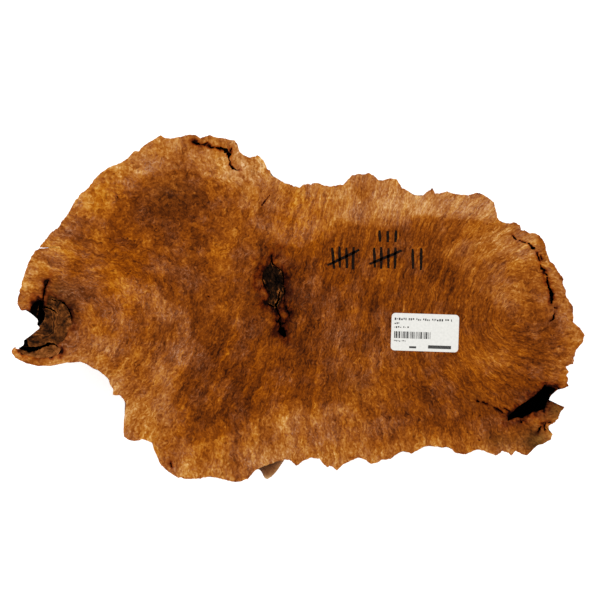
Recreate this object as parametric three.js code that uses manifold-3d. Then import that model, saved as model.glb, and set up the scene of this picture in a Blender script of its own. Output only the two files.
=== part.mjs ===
// A red mallee burl cap: the knobbly growth of a eucalypt, sawn off the root in one flat cut.
// It lies as it is stored, with the sawn face up and the natural side down on three of its knobs.
// Millimetres, +Z up. The origin is on the resting surface, under the middle of the outline.
import * as THREE from "three";
import { mergeVertices } from "three/addons/utils/BufferGeometryUtils.js";
import Module from "manifold-3d";

// Driving dimensions
const LENGTH = 486;
const WIDTH = 296;
const THICKNESS = 76;
const LABEL = { length: 57.15, width: 31.75, thickness: 0.2, corner: 3.2, x: 107.5, y: -21, turn: -1.9 };

// The natural side: how it falls away from the sawn edge
const DOME_POWER = 2.25; // 2 is an ellipse, more is boxier
const BELLY_CLEARANCE = 16; // the bare belly hangs this far above the surface, before its relief
const WAIST = { x: 18, spread: 55, rise: 7 }; // the two lobes of the burl meet here, where it is shallower
const UNDERCUT = { inset: 5, depth: 15 }; // the natural side steps in this much below the sawn edge
const SPIKE_DEPTH = 24; // the spikes of the sawn edge have run out at this depth
const SPINE = [
  [-125.5, -2],
  [145.5, -19],
]; // the line under the belly that every rib of the natural side runs towards

// Relief of the natural side
const SWELL = { cell: 60, height: 7 };
const KNOB = { cell: 23, height: 11 };
const CONE = { smallest: 0.5, range: 0.4 }; // a bump's radius, in cells
const RELIEF = { start: 0.04, full: 0.34 }; // shares of the fall between which the relief grows
const OVERHANG = 0.8; // share of the room inside the sawn edge that a knob on the side may fill
const FEET = [
  [-85, -62],
  [-80, 62],
  [95, -24],
]; // three knobs that it rests on, round its weight
const FOOT = { reach: 20, worn: 4 }; // worn is how much of each tip has rubbed away
const LEDGES = [
  { x: -25.5, y: -129, z: 60, reach: 14, spread: 7.5 },
  { x: -16, y: -126, z: 63, reach: 12, spread: 6 },
]; // two knobs that stand out from under the sawn edge
const LEDGE_START = 4; // they reach their full size at this depth

// How finely the natural side is faceted
const EDGE_STEP = 7.5;
const SMOOTH_REACH = 4; // edge points on each side that the spikeless edge is averaged over
const RINGS = 22;
const THINNED = 0.6; // share of a quarter turn from which only every second rib goes on
const SPINE_KNOTS = 17;

// The sawn edge, clockwise from the top of the left hollow, one tip or dip to each point
const SAWN_EDGE = [
  // left shoulder
  [-238, 4], [-237, 11], [-233.5, 23.5], [-229.5, 35.5], [-226, 44], [-223.5, 48], [-220, 50.5],
  [-214, 58], [-210, 63.5], [-201.5, 70], [-200.5, 73.5], [-196.5, 77.5], [-193, 83], [-189, 91],
  [-184.5, 96.5], [-178.5, 101.5], [-173.5, 108], [-167.5, 114], [-159, 120], [-150.5, 123],
  [-144, 127], [-139.5, 132.5], [-134, 134.5], [-128.5, 139.5], [-123.5, 142],
  // crown of the left lobe
  [-116, 146.5], [-112.5, 144], [-107.5, 143.5], [-100, 145], [-88, 148], [-83, 144], [-74.5, 146.5],
  [-69.5, 144.5], [-61, 143.5], [-56.5, 142], [-53.5, 142], [-51.5, 139.5], [-49, 132], [-44, 128.5],
  [-40.5, 127.5], [-34.5, 130], [-29, 125], [-26, 117.5], [-23.5, 117.5], [-23, 112.5],
  // saddle and upper edge of the right lobe
  [-15, 108], [-8.5, 105], [1.5, 102], [5, 105], [16, 106], [26, 103], [39, 105], [45.5, 112.5],
  [51, 114], [55, 113], [60, 114.5], [63.5, 113], [69.5, 107.5], [78.5, 110], [84, 109], [88, 102],
  [93, 99.5], [98, 95.5], [104, 95.5], [110, 99], [113.5, 102], [116, 97.5], [120, 97], [126, 99],
  [134.5, 97], [144, 95.5], [151.5, 98], [156.5, 96.5], [161, 94], [166, 89.5],
  // right shoulder
  [167.5, 83], [170, 74.5], [174.5, 72], [180.5, 72], [183.5, 73], [188, 70], [189, 66], [192, 66],
  [195.5, 63.5], [201.5, 63.5], [205.5, 60.5], [209, 55.5], [211, 47], [213.5, 39.5], [216.5, 37.5],
  [220, 32], [225, 25], [224.5, 21], [227, 16.5], [228, 8.5], [233, 1.5], [233.5, -6], [233, -12],
  // right end
  [239, -17], [243, -23], [241.5, -29], [235.5, -36], [233.5, -47.5], [227, -50], [229.5, -54.5],
  [227.5, -57.5], [229.5, -60.5], [228, -63.5], [229.5, -66.5], [226, -68], [226, -84], [222, -90],
  [221, -94], [217.5, -97.5], [212.5, -100], [212.5, -104.5], [216, -107], [214, -112],
  [207.5, -115.5], [201.5, -118], [198, -122], [194.5, -125.5],
  // lower edge, with the spikes of the natural side
  [189, -124], [184.5, -121.5], [180.5, -125.5], [178, -123], [173.5, -122], [167.5, -125.5],
  [162.5, -123.5], [156.5, -121], [150.5, -120.5], [142, -124.5], [133, -123], [128.5, -118.5],
  [122, -118.5], [110, -117], [106, -118], [101.5, -121.5], [95.5, -124], [91.5, -122], [86.5, -122],
  [78, -128.5], [71, -129], [67, -131.5], [61, -132.5], [57.5, -129], [51, -127], [43, -130.5],
  [38, -133], [33, -138], [27, -134], [24.5, -135.5], [18, -128.5], [11, -127], [4, -130],
  [-1, -134.5], [-7, -129], [-12.5, -129],
  // lower left lobe and the lip under the hollow
  [-23.5, -132.5], [-34, -136.5], [-36.5, -138], [-43, -146], [-51, -148], [-61, -146.5], [-66, -145],
  [-74.5, -143], [-83, -145], [-91.5, -145.5], [-101.5, -144.5], [-110, -139], [-117, -132.5],
  [-118.5, -128], [-122, -120.5], [-123.5, -114.5], [-127, -113], [-132, -112], [-141.5, -113.5],
  [-147.5, -109.5], [-148, -103.5], [-147.5, -95], [-146, -85], [-145.5, -81.5], [-150.5, -74.5],
  [-157, -74], [-156.5, -69], [-159, -65.5], [-161, -59.5], [-166, -56], [-169.5, -52.5],
  [-174.5, -51.5], [-179.5, -47.5], [-184.5, -46], [-197.5, -47], [-210, -49.5], [-220, -49.5],
  [-231, -47], [-239.5, -42.5], [-243, -37.5],
];

// Where the wood has gone, each drawn on the sawn face
const BITES = [
  // out of the left end, where a branch died and rotted away
  [[-260, 6], [-238, 4], [-234.5, -2.5], [-230.5, -2], [-224.5, -6], [-220, -10.5], [-221, -14],
    [-218.5, -17], [-227, -24], [-232, -27.5], [-232, -31.5], [-237, -33], [-240.5, -34], [-243, -37.5],
    [-260, -37.5]],
  // out of the right end, at the mouth of the black pocket
  [[250, -66.5], [229.5, -66.5], [226, -68], [219.5, -69.5], [214, -74.5], [212.5, -78], [222, -82.5],
    [226, -84], [250, -85]],
];
const POCKETS = [
  // hollow of the dead branch, with its stub left as the floor
  { depth: 6, taper: 0.9, mouth: [[-238, -37.5], [-225, -38.5], [-214, -37], [-204, -33], [-196.5, -26.5],
    [-190.5, -17], [-189, -6], [-191.5, 5.5], [-198, 15], [-206.5, 21], [-213.5, 22], [-217.5, 13.5],
    [-222, 4], [-228, -3.5]] },
  // gaps between the stub and the living wood
  { depth: 27, taper: 0.8, mouth: [[-224.5, 5], [-219, 8], [-215, 3], [-213.5, -4.5], [-215, -13],
    [-219.5, -18], [-224, -10.5], [-228, -4.5]] },
  { depth: 23, taper: 0.9, mouth: [[-240, -33], [-233, -27], [-228.5, -32.5], [-220, -33], [-211, -29.5],
    [-204, -31.5], [-214, -36], [-225, -38.5], [-237, -37]] },
  // bark grown in, down the middle
  { depth: 8, taper: 0.6, mouth: [[-23, 43], [-18.5, 37], [-13.5, 31], [-12.5, 16.5], [-12.5, 3],
    [-9.5, -8], [-6.5, -18], [-8.5, -30], [-12.5, -32], [-15.5, -25.5], [-18, -13], [-22.5, -3], [-26, 9],
    [-29, 21], [-28, 33.5]] },
  // black pocket at the right end
  { depth: 32, taper: 0.7, mouth: [[176.5, -95.5], [178, -89], [183.5, -84], [190.5, -79], [200, -75.5],
    [205.5, -68.5], [209, -62.5], [214, -65.5], [219.5, -68], [226, -70], [219, -76], [216, -80],
    [211.5, -85.5], [206.5, -88], [197.5, -91], [189.5, -94.5], [183.5, -93]] },
];
const CRACKS = [
  { width: 2.6, depth: 8, path: [[-90.5, 141], [-84.5, 139], [-81.5, 138], [-77, 139.5]] },
  { width: 3.4, depth: 14, path: [[-75.5, 137], [-69.5, 136], [-63.5, 133.5], [-59.5, 132.5], [-58.5, 127.5],
    [-58.5, 121.5], [-56, 118.5], [-49, 116.5]] },
  { width: 3.4, depth: 12, path: [[181.5, 61.5], [184.5, 57.5], [189, 56], [194, 55], [200, 50.5],
    [203, 45.5], [205, 38.5], [207.5, 33], [211, 27], [212.5, 19.5], [214, 12.5], [214.5, 5.5], [219, 0]] },
  { width: 2.4, depth: 16, path: [[-201.5, 7.5], [-196.5, 2.5], [-193, -3.5], [-191, -10.5]] },
];
const STEP = 0.7; // share of a pocket's depth at which its wall turns in to the floor
const CRACK = { end: 0.15, foot: 0.35 }; // how wide a crack still is at its ends and at its foot
const OVERCUT = 8; // how far a cutter stands out of the wood

const wasm = await Module();
wasm.setup();

// Scatter and bumps, the random rule behind the relief

// A number from 0 to 1, always the same for the same cell of the lattice and the same use.
function scatter(i, j, k, use) {
  const wave = Math.sin(i * 127.1 + j * 311.7 + k * 74.7 + use * 53.9) * 43758.5453;
  return wave - Math.floor(wave);
}

// Cones strewn one to each cell of a cubic lattice: 1 at a cone's tip, 0 between cones.
function bumps(point, cell) {
  const [ci, cj, ck] = point.toArray().map((value) => Math.floor(value / cell));
  const tip = new THREE.Vector3();
  let highest = 0;
  for (let i = ci - 1; i <= ci + 1; i++)
    for (let j = cj - 1; j <= cj + 1; j++)
      for (let k = ck - 1; k <= ck + 1; k++) {
        tip.set(i + scatter(i, j, k, 1), j + scatter(i, j, k, 2), k + scatter(i, j, k, 3));
        const radius = cell * (CONE.smallest + CONE.range * scatter(i, j, k, 4));
        highest = Math.max(highest, 1 - point.distanceTo(tip.multiplyScalar(cell)) / radius);
      }
  return highest;
}

const { smoothstep } = THREE.MathUtils;

const bell = (distance, spread) => Math.exp(-((distance / spread) ** 2));

// The sawn edge, stretched to the length and width, anticlockwise, no facet longer than EDGE_STEP
function sawnEdge() {
  const drawn = SAWN_EDGE.map(([x, y]) => new THREE.Vector2(x, y)).reverse();
  const box = new THREE.Box2().setFromPoints(drawn);
  const middle = box.getCenter(new THREE.Vector2());
  const size = box.getSize(new THREE.Vector2());
  const stretch = new THREE.Vector2(LENGTH, WIDTH).divide(size);
  for (const point of drawn) point.sub(middle).multiply(stretch);
  return drawn.flatMap((point, n) => {
    const next = drawn[(n + 1) % drawn.length];
    const pieces = Math.ceil(point.distanceTo(next) / EDGE_STEP);
    return Array.from({ length: pieces }, (_, i) => point.clone().lerp(next, i / pieces));
  });
}

// The edge with its spikes averaged away, which the ribs fade into
function smoothedEdge(edge) {
  return edge.map((_, n) => {
    const mean = new THREE.Vector2();
    for (let i = -SMOOTH_REACH; i <= SMOOTH_REACH; i++) mean.add(edge.at((n + i) % edge.length));
    return mean.divideScalar(2 * SMOOTH_REACH + 1);
  });
}

// Where a rib ends on the spine. At the very last the ribs meet in a few knots, so that the belly closes.
function spinePoint(point, turn) {
  const [start, end] = SPINE.map(([x, y]) => new THREE.Vector3(x, y, 0));
  const spine = new THREE.Line3(start, end);
  const share = spine.closestPointToPointParameter(new THREE.Vector3(point.x, point.y, 0), true);
  const knot = Math.round(share * SPINE_KNOTS) / SPINE_KNOTS;
  const { x, y } = spine.at(turn < 1 ? share : knot, new THREE.Vector3());
  return new THREE.Vector2(x, y);
}

// One point of the natural side. turn runs from 0 at the sawn edge to 1 under the belly: the rib is a
// quarter of a superellipse from the edge to the spine, and the relief stands out square to it.
function ribPoint(edge, smoothed, turn) {
  const angle = (turn * Math.PI) / 2;
  const spread = Math.cos(angle) ** (2 / DOME_POWER);
  const fall = Math.sin(angle) ** (2 / DOME_POWER);
  const spine = spinePoint(edge, turn);
  const deepest = THICKNESS - BELLY_CLEARANCE - WAIST.rise * bell(spine.x - WAIST.x, WAIST.spread);
  const depth = deepest * fall;
  const foot = edge.clone().lerp(smoothed, smoothstep(depth, 0, SPIKE_DEPTH)).sub(spine);
  const point = new THREE.Vector3(spine.x + foot.x * spread, spine.y + foot.y * spread, THICKNESS - depth);

  const swell = SWELL.height * smoothstep(bumps(point, SWELL.cell), 0, 1);
  const knob = KNOB.height * bumps(point, KNOB.cell);
  const relief = (swell + knob) * smoothstep(fall, RELIEF.start, RELIEF.full);
  const inset = UNDERCUT.inset * smoothstep(depth, 0, UNDERCUT.depth);
  const ledge = LEDGES.reduce(
    (sum, { x, y, z, reach, spread: width }) =>
      sum + reach * bell(Math.hypot(point.x - x, point.y - y, point.z - z), width), 0);
  const room = OVERHANG * (1 - spread) * foot.length();
  const standingOut = ledge * smoothstep(depth, 0, LEDGE_START);
  const outward = Math.min((relief - inset) * Math.cos(angle), room) + standingOut;
  foot.normalize();
  point.x += foot.x * outward;
  point.y += foot.y * outward;
  point.z -= relief * Math.sin(angle);

  const standing = Math.max(...FEET.map(([x, y]) => bell(Math.hypot(point.x - x, point.y - y), FOOT.reach)));
  point.z = THREE.MathUtils.lerp(point.z, -FOOT.worn, standing);
  return point;
}

// A closed body through rings of points, highest ring first, each anticlockwise seen from above. Two
// rings may differ in count: their points are paired by how far round they are. Where the last ring is
// folded flat on a line, its two sides are one seam and there is no floor.
function loft(rings, folded = false) {
  const starts = rings.reduce((list, ring) => [...list, list.at(-1) + ring.length], [0]);
  const flat = (ring) => ring.map(({ x, y }) => new THREE.Vector2(x, y));
  const cap = (ring) => THREE.ShapeUtils.triangulateShape(flat(ring), []);
  const faces = cap(rings[0]);
  for (let r = 0; r + 1 < rings.length; r++) {
    const [high, low] = [rings[r].length, rings[r + 1].length];
    const [onHigh, onLow] = [(i) => starts[r] + (i % high), (j) => starts[r + 1] + (j % low)];
    for (let i = 0, j = 0; i < high || j < low; ) {
      const goesOnHigh = j === low || (i < high && (i + 1) / high <= (j + 1) / low);
      const face = [onHigh(i), onLow(j)];
      face.push(goesOnHigh ? onHigh(++i) : onLow(++j));
      faces.push(face);
    }
  }
  const floor = folded ? [] : cap(rings.at(-1));
  for (const [a, b, c] of floor) faces.push([a, c, b].map((n) => n + starts[rings.length - 1]));
  return new THREE.BufferGeometry().setFromPoints(rings.flat()).setIndex(faces.flat());
}

function solid(geometry) {
  const bare = new THREE.BufferGeometry().setAttribute("position", geometry.getAttribute("position"));
  bare.setIndex(geometry.index);
  const merged = mergeVertices(bare, 1e-4);
  const corners = Array.from(merged.index.array);
  const isFace = (n) => new Set(corners.slice(n, n + 3)).size === 3;
  const triVerts = Uint32Array.from(corners.filter((_, n) => isFace(n - (n % 3))));
  const vertProperties = merged.getAttribute("position").array;
  return new wasm.Manifold(new wasm.Mesh({ numProp: 3, vertProperties, triVerts }));
}

function geometryOf(body) {
  const { vertProperties, triVerts } = body.getMesh();
  const geometry = new THREE.BufferGeometry();
  geometry.setAttribute("position", new THREE.BufferAttribute(vertProperties, 3));
  geometry.setIndex(new THREE.BufferAttribute(triVerts, 1));
  geometry.computeVertexNormals();
  return geometry;
}

// The cutters

const anticlockwise = (points) => (THREE.ShapeUtils.isClockWise(points) ? points.reverse() : points);

const outlineOf = (pairs) => anticlockwise(pairs.map(([x, y]) => new THREE.Vector2(x, y)));

const atHeight = (points, z) => points.map(({ x, y }) => new THREE.Vector3(x, y, z));

// A bite goes through the whole thickness, straight down.
function bite(pairs) {
  const outline = outlineOf(pairs);
  return loft([atHeight(outline, THICKNESS + OVERCUT), atHeight(outline, -OVERCUT)]);
}

// A pocket narrows towards its floor about the middle of its mouth.
function pocket({ mouth, depth, taper }) {
  const outline = outlineOf(mouth);
  const middle = new THREE.Vector2();
  for (const point of outline) middle.addScaledVector(point, 1 / outline.length);
  const shrunk = (share) => outline.map((point) => middle.clone().lerp(point, share));
  return loft([
    atHeight(outline, THICKNESS + OVERCUT),
    atHeight(outline, THICKNESS),
    atHeight(shrunk((1 + taper) / 2), THICKNESS - depth * STEP),
    atHeight(shrunk(taper), THICKNESS - depth),
  ]);
}

// A crack is a wedge along its path, widest in the middle and nearly closed at its ends and its foot.
function crack({ path, width, depth }) {
  const points = path.map(([x, y]) => new THREE.Vector2(x, y));
  const side = (share) => {
    const half = points.map((point, n) => {
      const along = points[Math.min(n + 1, points.length - 1)].clone().sub(points[Math.max(n - 1, 0)]);
      const open = THREE.MathUtils.lerp(CRACK.end, 1, Math.sin((Math.PI * (n + 0.5)) / points.length));
      return new THREE.Vector2(-along.y, along.x).setLength((share * width * open) / 2);
    });
    const left = points.map((point, n) => point.clone().add(half[n]));
    const right = points.map((point, n) => point.clone().sub(half[n]));
    return anticlockwise([...left, ...right.reverse()]);
  };
  return loft([
    atHeight(side(1), THICKNESS + OVERCUT),
    atHeight(side(1), THICKNESS),
    atHeight(side(CRACK.foot), THICKNESS - depth),
  ]);
}

// What the tips of the feet have lost: everything below the surface that the burl rests on
function wear() {
  const corners = [[-LENGTH, -WIDTH], [LENGTH, -WIDTH], [LENGTH, WIDTH], [-LENGTH, WIDTH]];
  return loft([atHeight(outlineOf(corners), 0), atHeight(outlineOf(corners), -FOOT.worn - OVERCUT)]);
}

// The wood: the sawn face, the natural side and everything that is missing from them

function burl() {
  const edge = sawnEdge();
  const smoothed = smoothedEdge(edge);
  const rings = Array.from({ length: RINGS + 1 }, (_, ring) => {
    const turn = ring / RINGS;
    const every = turn < THINNED ? 1 : 2;
    return edge.flatMap((point, n) => (n % every ? [] : [ribPoint(point, smoothed[n], turn)]));
  });
  let wood = solid(loft(rings, true));
  const cutters = [wear(), ...BITES.map(bite), ...POCKETS.map(pocket), ...CRACKS.map(crack)];
  for (const cutter of cutters) wood = wood.subtract(solid(cutter));
  return geometryOf(wood);
}

// The paper price label, stuck flat on the sawn face

function label() {
  const { length, width, corner, thickness } = LABEL;
  const [halfLength, halfWidth] = [length / 2, width / 2];
  const shape = new THREE.Shape();
  shape.moveTo(halfLength, halfWidth - corner);
  shape.absarc(halfLength - corner, halfWidth - corner, corner, 0, Math.PI / 2);
  shape.absarc(corner - halfLength, halfWidth - corner, corner, Math.PI / 2, Math.PI);
  shape.absarc(corner - halfLength, corner - halfWidth, corner, Math.PI, 1.5 * Math.PI);
  shape.absarc(halfLength - corner, corner - halfWidth, corner, 1.5 * Math.PI, 2 * Math.PI);
  return new THREE.ExtrudeGeometry(shape, { depth: thickness, bevelEnabled: false, curveSegments: 5 });
}

const WOOD = new THREE.MeshStandardMaterial({ name: "sawn burl wood", color: 0x9c5b26, roughness: 0.7 });
const PAPER = new THREE.MeshStandardMaterial({ name: "label paper", color: 0xe9e8e2, roughness: 0.55 });

const part = new THREE.Group();

const wood = new THREE.Mesh(burl(), WOOD);
wood.name = "burl";
part.add(wood);

const sticker = new THREE.Mesh(label(), PAPER);
sticker.name = "price_label";
sticker.position.set(LABEL.x, LABEL.y, THICKNESS);
sticker.rotation.z = THREE.MathUtils.degToRad(LABEL.turn);
part.add(sticker);

export default part;
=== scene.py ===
import functools
import math

import bmesh
import bpy
import numpy as np
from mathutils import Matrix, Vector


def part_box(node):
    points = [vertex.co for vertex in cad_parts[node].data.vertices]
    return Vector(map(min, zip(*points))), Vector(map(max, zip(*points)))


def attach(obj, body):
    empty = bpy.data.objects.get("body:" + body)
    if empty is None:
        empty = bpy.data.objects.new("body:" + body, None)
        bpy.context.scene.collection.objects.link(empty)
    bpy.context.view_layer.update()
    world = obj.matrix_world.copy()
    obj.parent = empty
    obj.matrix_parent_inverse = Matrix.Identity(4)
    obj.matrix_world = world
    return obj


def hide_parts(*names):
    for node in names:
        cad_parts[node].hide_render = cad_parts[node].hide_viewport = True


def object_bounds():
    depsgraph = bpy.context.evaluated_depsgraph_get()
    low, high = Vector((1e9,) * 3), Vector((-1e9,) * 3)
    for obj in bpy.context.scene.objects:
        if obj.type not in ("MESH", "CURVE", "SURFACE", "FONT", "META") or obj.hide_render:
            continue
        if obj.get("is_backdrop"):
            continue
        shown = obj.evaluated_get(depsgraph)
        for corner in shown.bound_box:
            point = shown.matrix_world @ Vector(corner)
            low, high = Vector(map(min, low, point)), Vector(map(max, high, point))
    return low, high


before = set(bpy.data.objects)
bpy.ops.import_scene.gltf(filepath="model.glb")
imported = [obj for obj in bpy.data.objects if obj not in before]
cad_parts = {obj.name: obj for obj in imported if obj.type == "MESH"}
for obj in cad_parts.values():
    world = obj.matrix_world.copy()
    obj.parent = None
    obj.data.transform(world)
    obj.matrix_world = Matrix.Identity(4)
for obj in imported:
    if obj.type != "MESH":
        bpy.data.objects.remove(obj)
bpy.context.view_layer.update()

# The wood
# A burl cap of red mallee: one lump of curly-grained eucalypt wood, grown in knobs over dormant buds.
# One saw cut took it off the root. The cut is flat, and the natural side under it is all knobs and pips.

MM = 0.001
WOOD_LOW, WOOD_HIGH = (np.array(corner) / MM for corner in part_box("burl"))
LENGTH, WIDTH, THICKNESS = WOOD_HIGH - WOOD_LOW

SAWN_EDGE = np.array([
    # left shoulder
    (-238, 4), (-237, 11), (-233.5, 23.5), (-229.5, 35.5), (-226, 44), (-223.5, 48), (-220, 50.5),
    (-214, 58), (-210, 63.5), (-201.5, 70), (-200.5, 73.5), (-196.5, 77.5), (-193, 83), (-189, 91),
    (-184.5, 96.5), (-178.5, 101.5), (-173.5, 108), (-167.5, 114), (-159, 120), (-150.5, 123),
    (-144, 127), (-139.5, 132.5), (-134, 134.5), (-128.5, 139.5), (-123.5, 142),
    # crown of the left lobe
    (-116, 146.5), (-112.5, 144), (-107.5, 143.5), (-100, 145), (-88, 148), (-83, 144), (-74.5, 146.5),
    (-69.5, 144.5), (-61, 143.5), (-56.5, 142), (-53.5, 142), (-51.5, 139.5), (-49, 132), (-44, 128.5),
    (-40.5, 127.5), (-34.5, 130), (-29, 125), (-26, 117.5), (-23.5, 117.5), (-23, 112.5),
    # saddle and upper edge of the right lobe
    (-15, 108), (-8.5, 105), (1.5, 102), (5, 105), (16, 106), (26, 103), (39, 105), (45.5, 112.5),
    (51, 114), (55, 113), (60, 114.5), (63.5, 113), (69.5, 107.5), (78.5, 110), (84, 109), (88, 102),
    (93, 99.5), (98, 95.5), (104, 95.5), (110, 99), (113.5, 102), (116, 97.5), (120, 97), (126, 99),
    (134.5, 97), (144, 95.5), (151.5, 98), (156.5, 96.5), (161, 94), (166, 89.5),
    # right shoulder
    (167.5, 83), (170, 74.5), (174.5, 72), (180.5, 72), (183.5, 73), (188, 70), (189, 66), (192, 66),
    (195.5, 63.5), (201.5, 63.5), (205.5, 60.5), (209, 55.5), (211, 47), (213.5, 39.5), (216.5, 37.5),
    (220, 32), (225, 25), (224.5, 21), (227, 16.5), (228, 8.5), (233, 1.5), (233.5, -6), (233, -12),
    # right end
    (239, -17), (243, -23), (241.5, -29), (235.5, -36), (233.5, -47.5), (227, -50), (229.5, -54.5),
    (227.5, -57.5), (229.5, -60.5), (228, -63.5), (229.5, -66.5), (226, -68), (226, -84), (222, -90),
    (221, -94), (217.5, -97.5), (212.5, -100), (212.5, -104.5), (216, -107), (214, -112),
    (207.5, -115.5), (201.5, -118), (198, -122), (194.5, -125.5),
    # lower edge, with the spikes of the natural side
    (189, -124), (184.5, -121.5), (180.5, -125.5), (178, -123), (173.5, -122), (167.5, -125.5),
    (162.5, -123.5), (156.5, -121), (150.5, -120.5), (142, -124.5), (133, -123), (128.5, -118.5),
    (122, -118.5), (110, -117), (106, -118), (101.5, -121.5), (95.5, -124), (91.5, -122), (86.5, -122),
    (78, -128.5), (71, -129), (67, -131.5), (61, -132.5), (57.5, -129), (51, -127), (43, -130.5),
    (38, -133), (33, -138), (27, -134), (24.5, -135.5), (18, -128.5), (11, -127), (4, -130),
    (-1, -134.5), (-7, -129), (-12.5, -129),
    # lower left lobe and the lip under the hollow
    (-23.5, -132.5), (-34, -136.5), (-36.5, -138), (-43, -146), (-51, -148), (-61, -146.5), (-66, -145),
    (-74.5, -143), (-83, -145), (-91.5, -145.5), (-101.5, -144.5), (-110, -139), (-117, -132.5),
    (-118.5, -128), (-122, -120.5), (-123.5, -114.5), (-127, -113), (-132, -112), (-141.5, -113.5),
    (-147.5, -109.5), (-148, -103.5), (-147.5, -95), (-146, -85), (-145.5, -81.5), (-150.5, -74.5),
    (-157, -74), (-156.5, -69), (-159, -65.5), (-161, -59.5), (-166, -56), (-169.5, -52.5),
    (-174.5, -51.5), (-179.5, -47.5), (-184.5, -46), (-197.5, -47), (-210, -49.5), (-220, -49.5),
    (-231, -47), (-239.5, -42.5), (-243, -37.5),
])
EDGE_POINTS, EDGE_SMOOTHING = 1400, 26  # ribs round the edge, and the ribs to each side of a mean
TEAR, TEAR_LENGTHS, TEAR_SEED = 0.3, (1, 4), 11  # how far the saw tore the edge, in mm, and over what ribs
FACE_SHARES = [(share, 4) for share in np.linspace(0.02, 0.96, 56)] + [(0.974, 2), (0.986, 2), (0.994, 1)]
SIDE_ROWS, FULL_SIDE_ROWS = 62, 11  # down the natural side, and those of them with every rib

# How the natural side falls away from the sawn edge
DOME_POWER = 2.25
BELLY_CLEARANCE = 16
WAIST_X, WAIST_SPREAD, WAIST_RISE = 18, 55, 7
INSET, INSET_DEPTH = 5, 15
SPIKE_DEPTH = 24
SPINE = np.array([(-125.5, -2), (145.5, -19)])
SPINE_KNOTS = 60

# Its relief, in mm: swells, knobs on them, and pips and grain on those
SWELL_CELL, SWELL_HEIGHT = 60, 7
KNOB_CELL, KNOB_HEIGHT = 23, 11
PIP_CELL, PIP_HEIGHT = 8.5, 2.8
GRAIN_CELL, GRAIN_HEIGHT = 3.6, 0.5
CONE_SMALLEST, CONE_RANGE = 0.5, 0.4
RELIEF_START, RELIEF_FULL = 0.04, 0.34
PIP_DEPTH = 6
OVERHANG = 0.8
INSIDE_EDGE, INSIDE_ROUNDS = 0.2, 3  # from above, the natural side stays this far inside the sawn edge
FEET = [(-85, -62), (-80, 62), (95, -24)]  # x and y of the three knobs that it rests on
FOOT_REACH, FOOT_WORN = 20, 4
LEDGES = [(-25.5, -129, 60, 14, 7.5), (-16, -126, 63, 12, 6)]  # x, y, z, how far it stands out, its spread
LEDGE_START, LEDGE_FREE = 4, 0.5
# The sine that scatters the cones: its turns for each cell each way and for each use, and its height
TURN_X, TURN_Y, TURN_Z, TURN_USE, SINE_HEIGHT = 127.1, 311.7, 74.7, 53.9, 43758.5453


def smooth(value, start, end):
    """3t^2 - 2t^3 of the share t of the way from start to end, held at 0 before it and at 1 after it."""
    t = np.clip((value - start) / (end - start), 0, 1)
    return t * t * (3 - 2 * t)


def bell(distance, spread):
    """1 at no distance, falling as a Gauss curve."""
    return np.exp(-(distance / spread) ** 2)


def scatter(i, j, k, use):
    """A number from 0 to 1 for each cell of a lattice: the fraction of a large sine of its place."""
    wave = np.sin(i * TURN_X + j * TURN_Y + k * TURN_Z + use * TURN_USE) * SINE_HEIGHT
    return wave - np.floor(wave)


def bumps(points, cell):
    """The highest of the cones round each point, one cone to a cell: 1 at its tip, falling in a straight
    line."""
    home = np.floor(points / cell)
    highest = np.zeros(points.shape[:-1])
    for step in np.ndindex(3, 3, 3):
        at = home + np.array(step) - 1
        i, j, k = np.moveaxis(at, -1, 0)
        tip = at + np.stack([scatter(i, j, k, use) for use in (1, 2, 3)], axis=-1)
        radius = cell * (CONE_SMALLEST + CONE_RANGE * scatter(i, j, k, 4))
        highest = np.maximum(highest, 1 - np.linalg.norm(points - tip * cell, axis=-1) / radius)
    return highest


def evenly_spaced(points, count, closed=True):
    """Points at equal distances along the line through the given ones, by its running length."""
    line = np.asarray(points, float)
    line = np.vstack([line, line[:1]]) if closed else line
    run = np.concatenate([[0], np.cumsum(np.linalg.norm(np.diff(line, axis=0), axis=1))])
    at = np.linspace(0, run[-1], count, endpoint=not closed)
    return np.stack([np.interp(at, run, column) for column in line.T], axis=-1)


def rolling_mean(values, reach):
    """The mean of each row and of the reach rows on both sides of it, round a closed line."""
    return sum(np.roll(values, n, axis=0) for n in range(-reach, reach + 1)) / (2 * reach + 1)


def on_spine(share):
    """Points of the spine at shares from 0 to 1 of its length."""
    return SPINE[0] + np.asarray(share)[..., None] * (SPINE[1] - SPINE[0])


def nearest_share(points):
    """The share along the spine of its point nearest to each of the given ones."""
    along = SPINE[1] - SPINE[0]
    return np.clip((points - SPINE[0]) @ along / (along @ along), 0, 1)


def from_line(points, line, closed):
    """The distance of each point from the nearest stretch of a line."""
    ends = np.asarray(line, float)
    starts, stops = (ends, np.roll(ends, -1, axis=0)) if closed else (ends[:-1], ends[1:])
    nearest = np.full(len(points), 1e9)
    for a, b in zip(starts, stops):
        share = np.clip((points - a) @ (b - a) / max((b - a) @ (b - a), 1e-9), 0, 1)
        nearest = np.minimum(nearest, np.linalg.norm(points - a - share[:, None] * (b - a), axis=1))
    return nearest


def inside(points, outline):
    """True where a line from the point towards +x crosses the outline an odd number of times."""
    x, y = points.T
    odd = np.zeros(len(points), bool)
    for (ax, ay), (bx, by) in zip(outline, np.roll(outline, -1, axis=0)):
        if ay != by:
            odd ^= ((ay > y) != (by > y)) & (x < (bx - ax) * (y - ay) / (by - ay) + ax)
    return odd


def from_edge(points, edge):
    """The distance of each point from a closed outline, negative outside it."""
    spots = points.reshape(-1, 2)
    distance = from_line(spots, edge[::4], True) * np.where(inside(spots, edge[::4]), 1, -1)
    return distance.reshape(points.shape[:-1])


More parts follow.
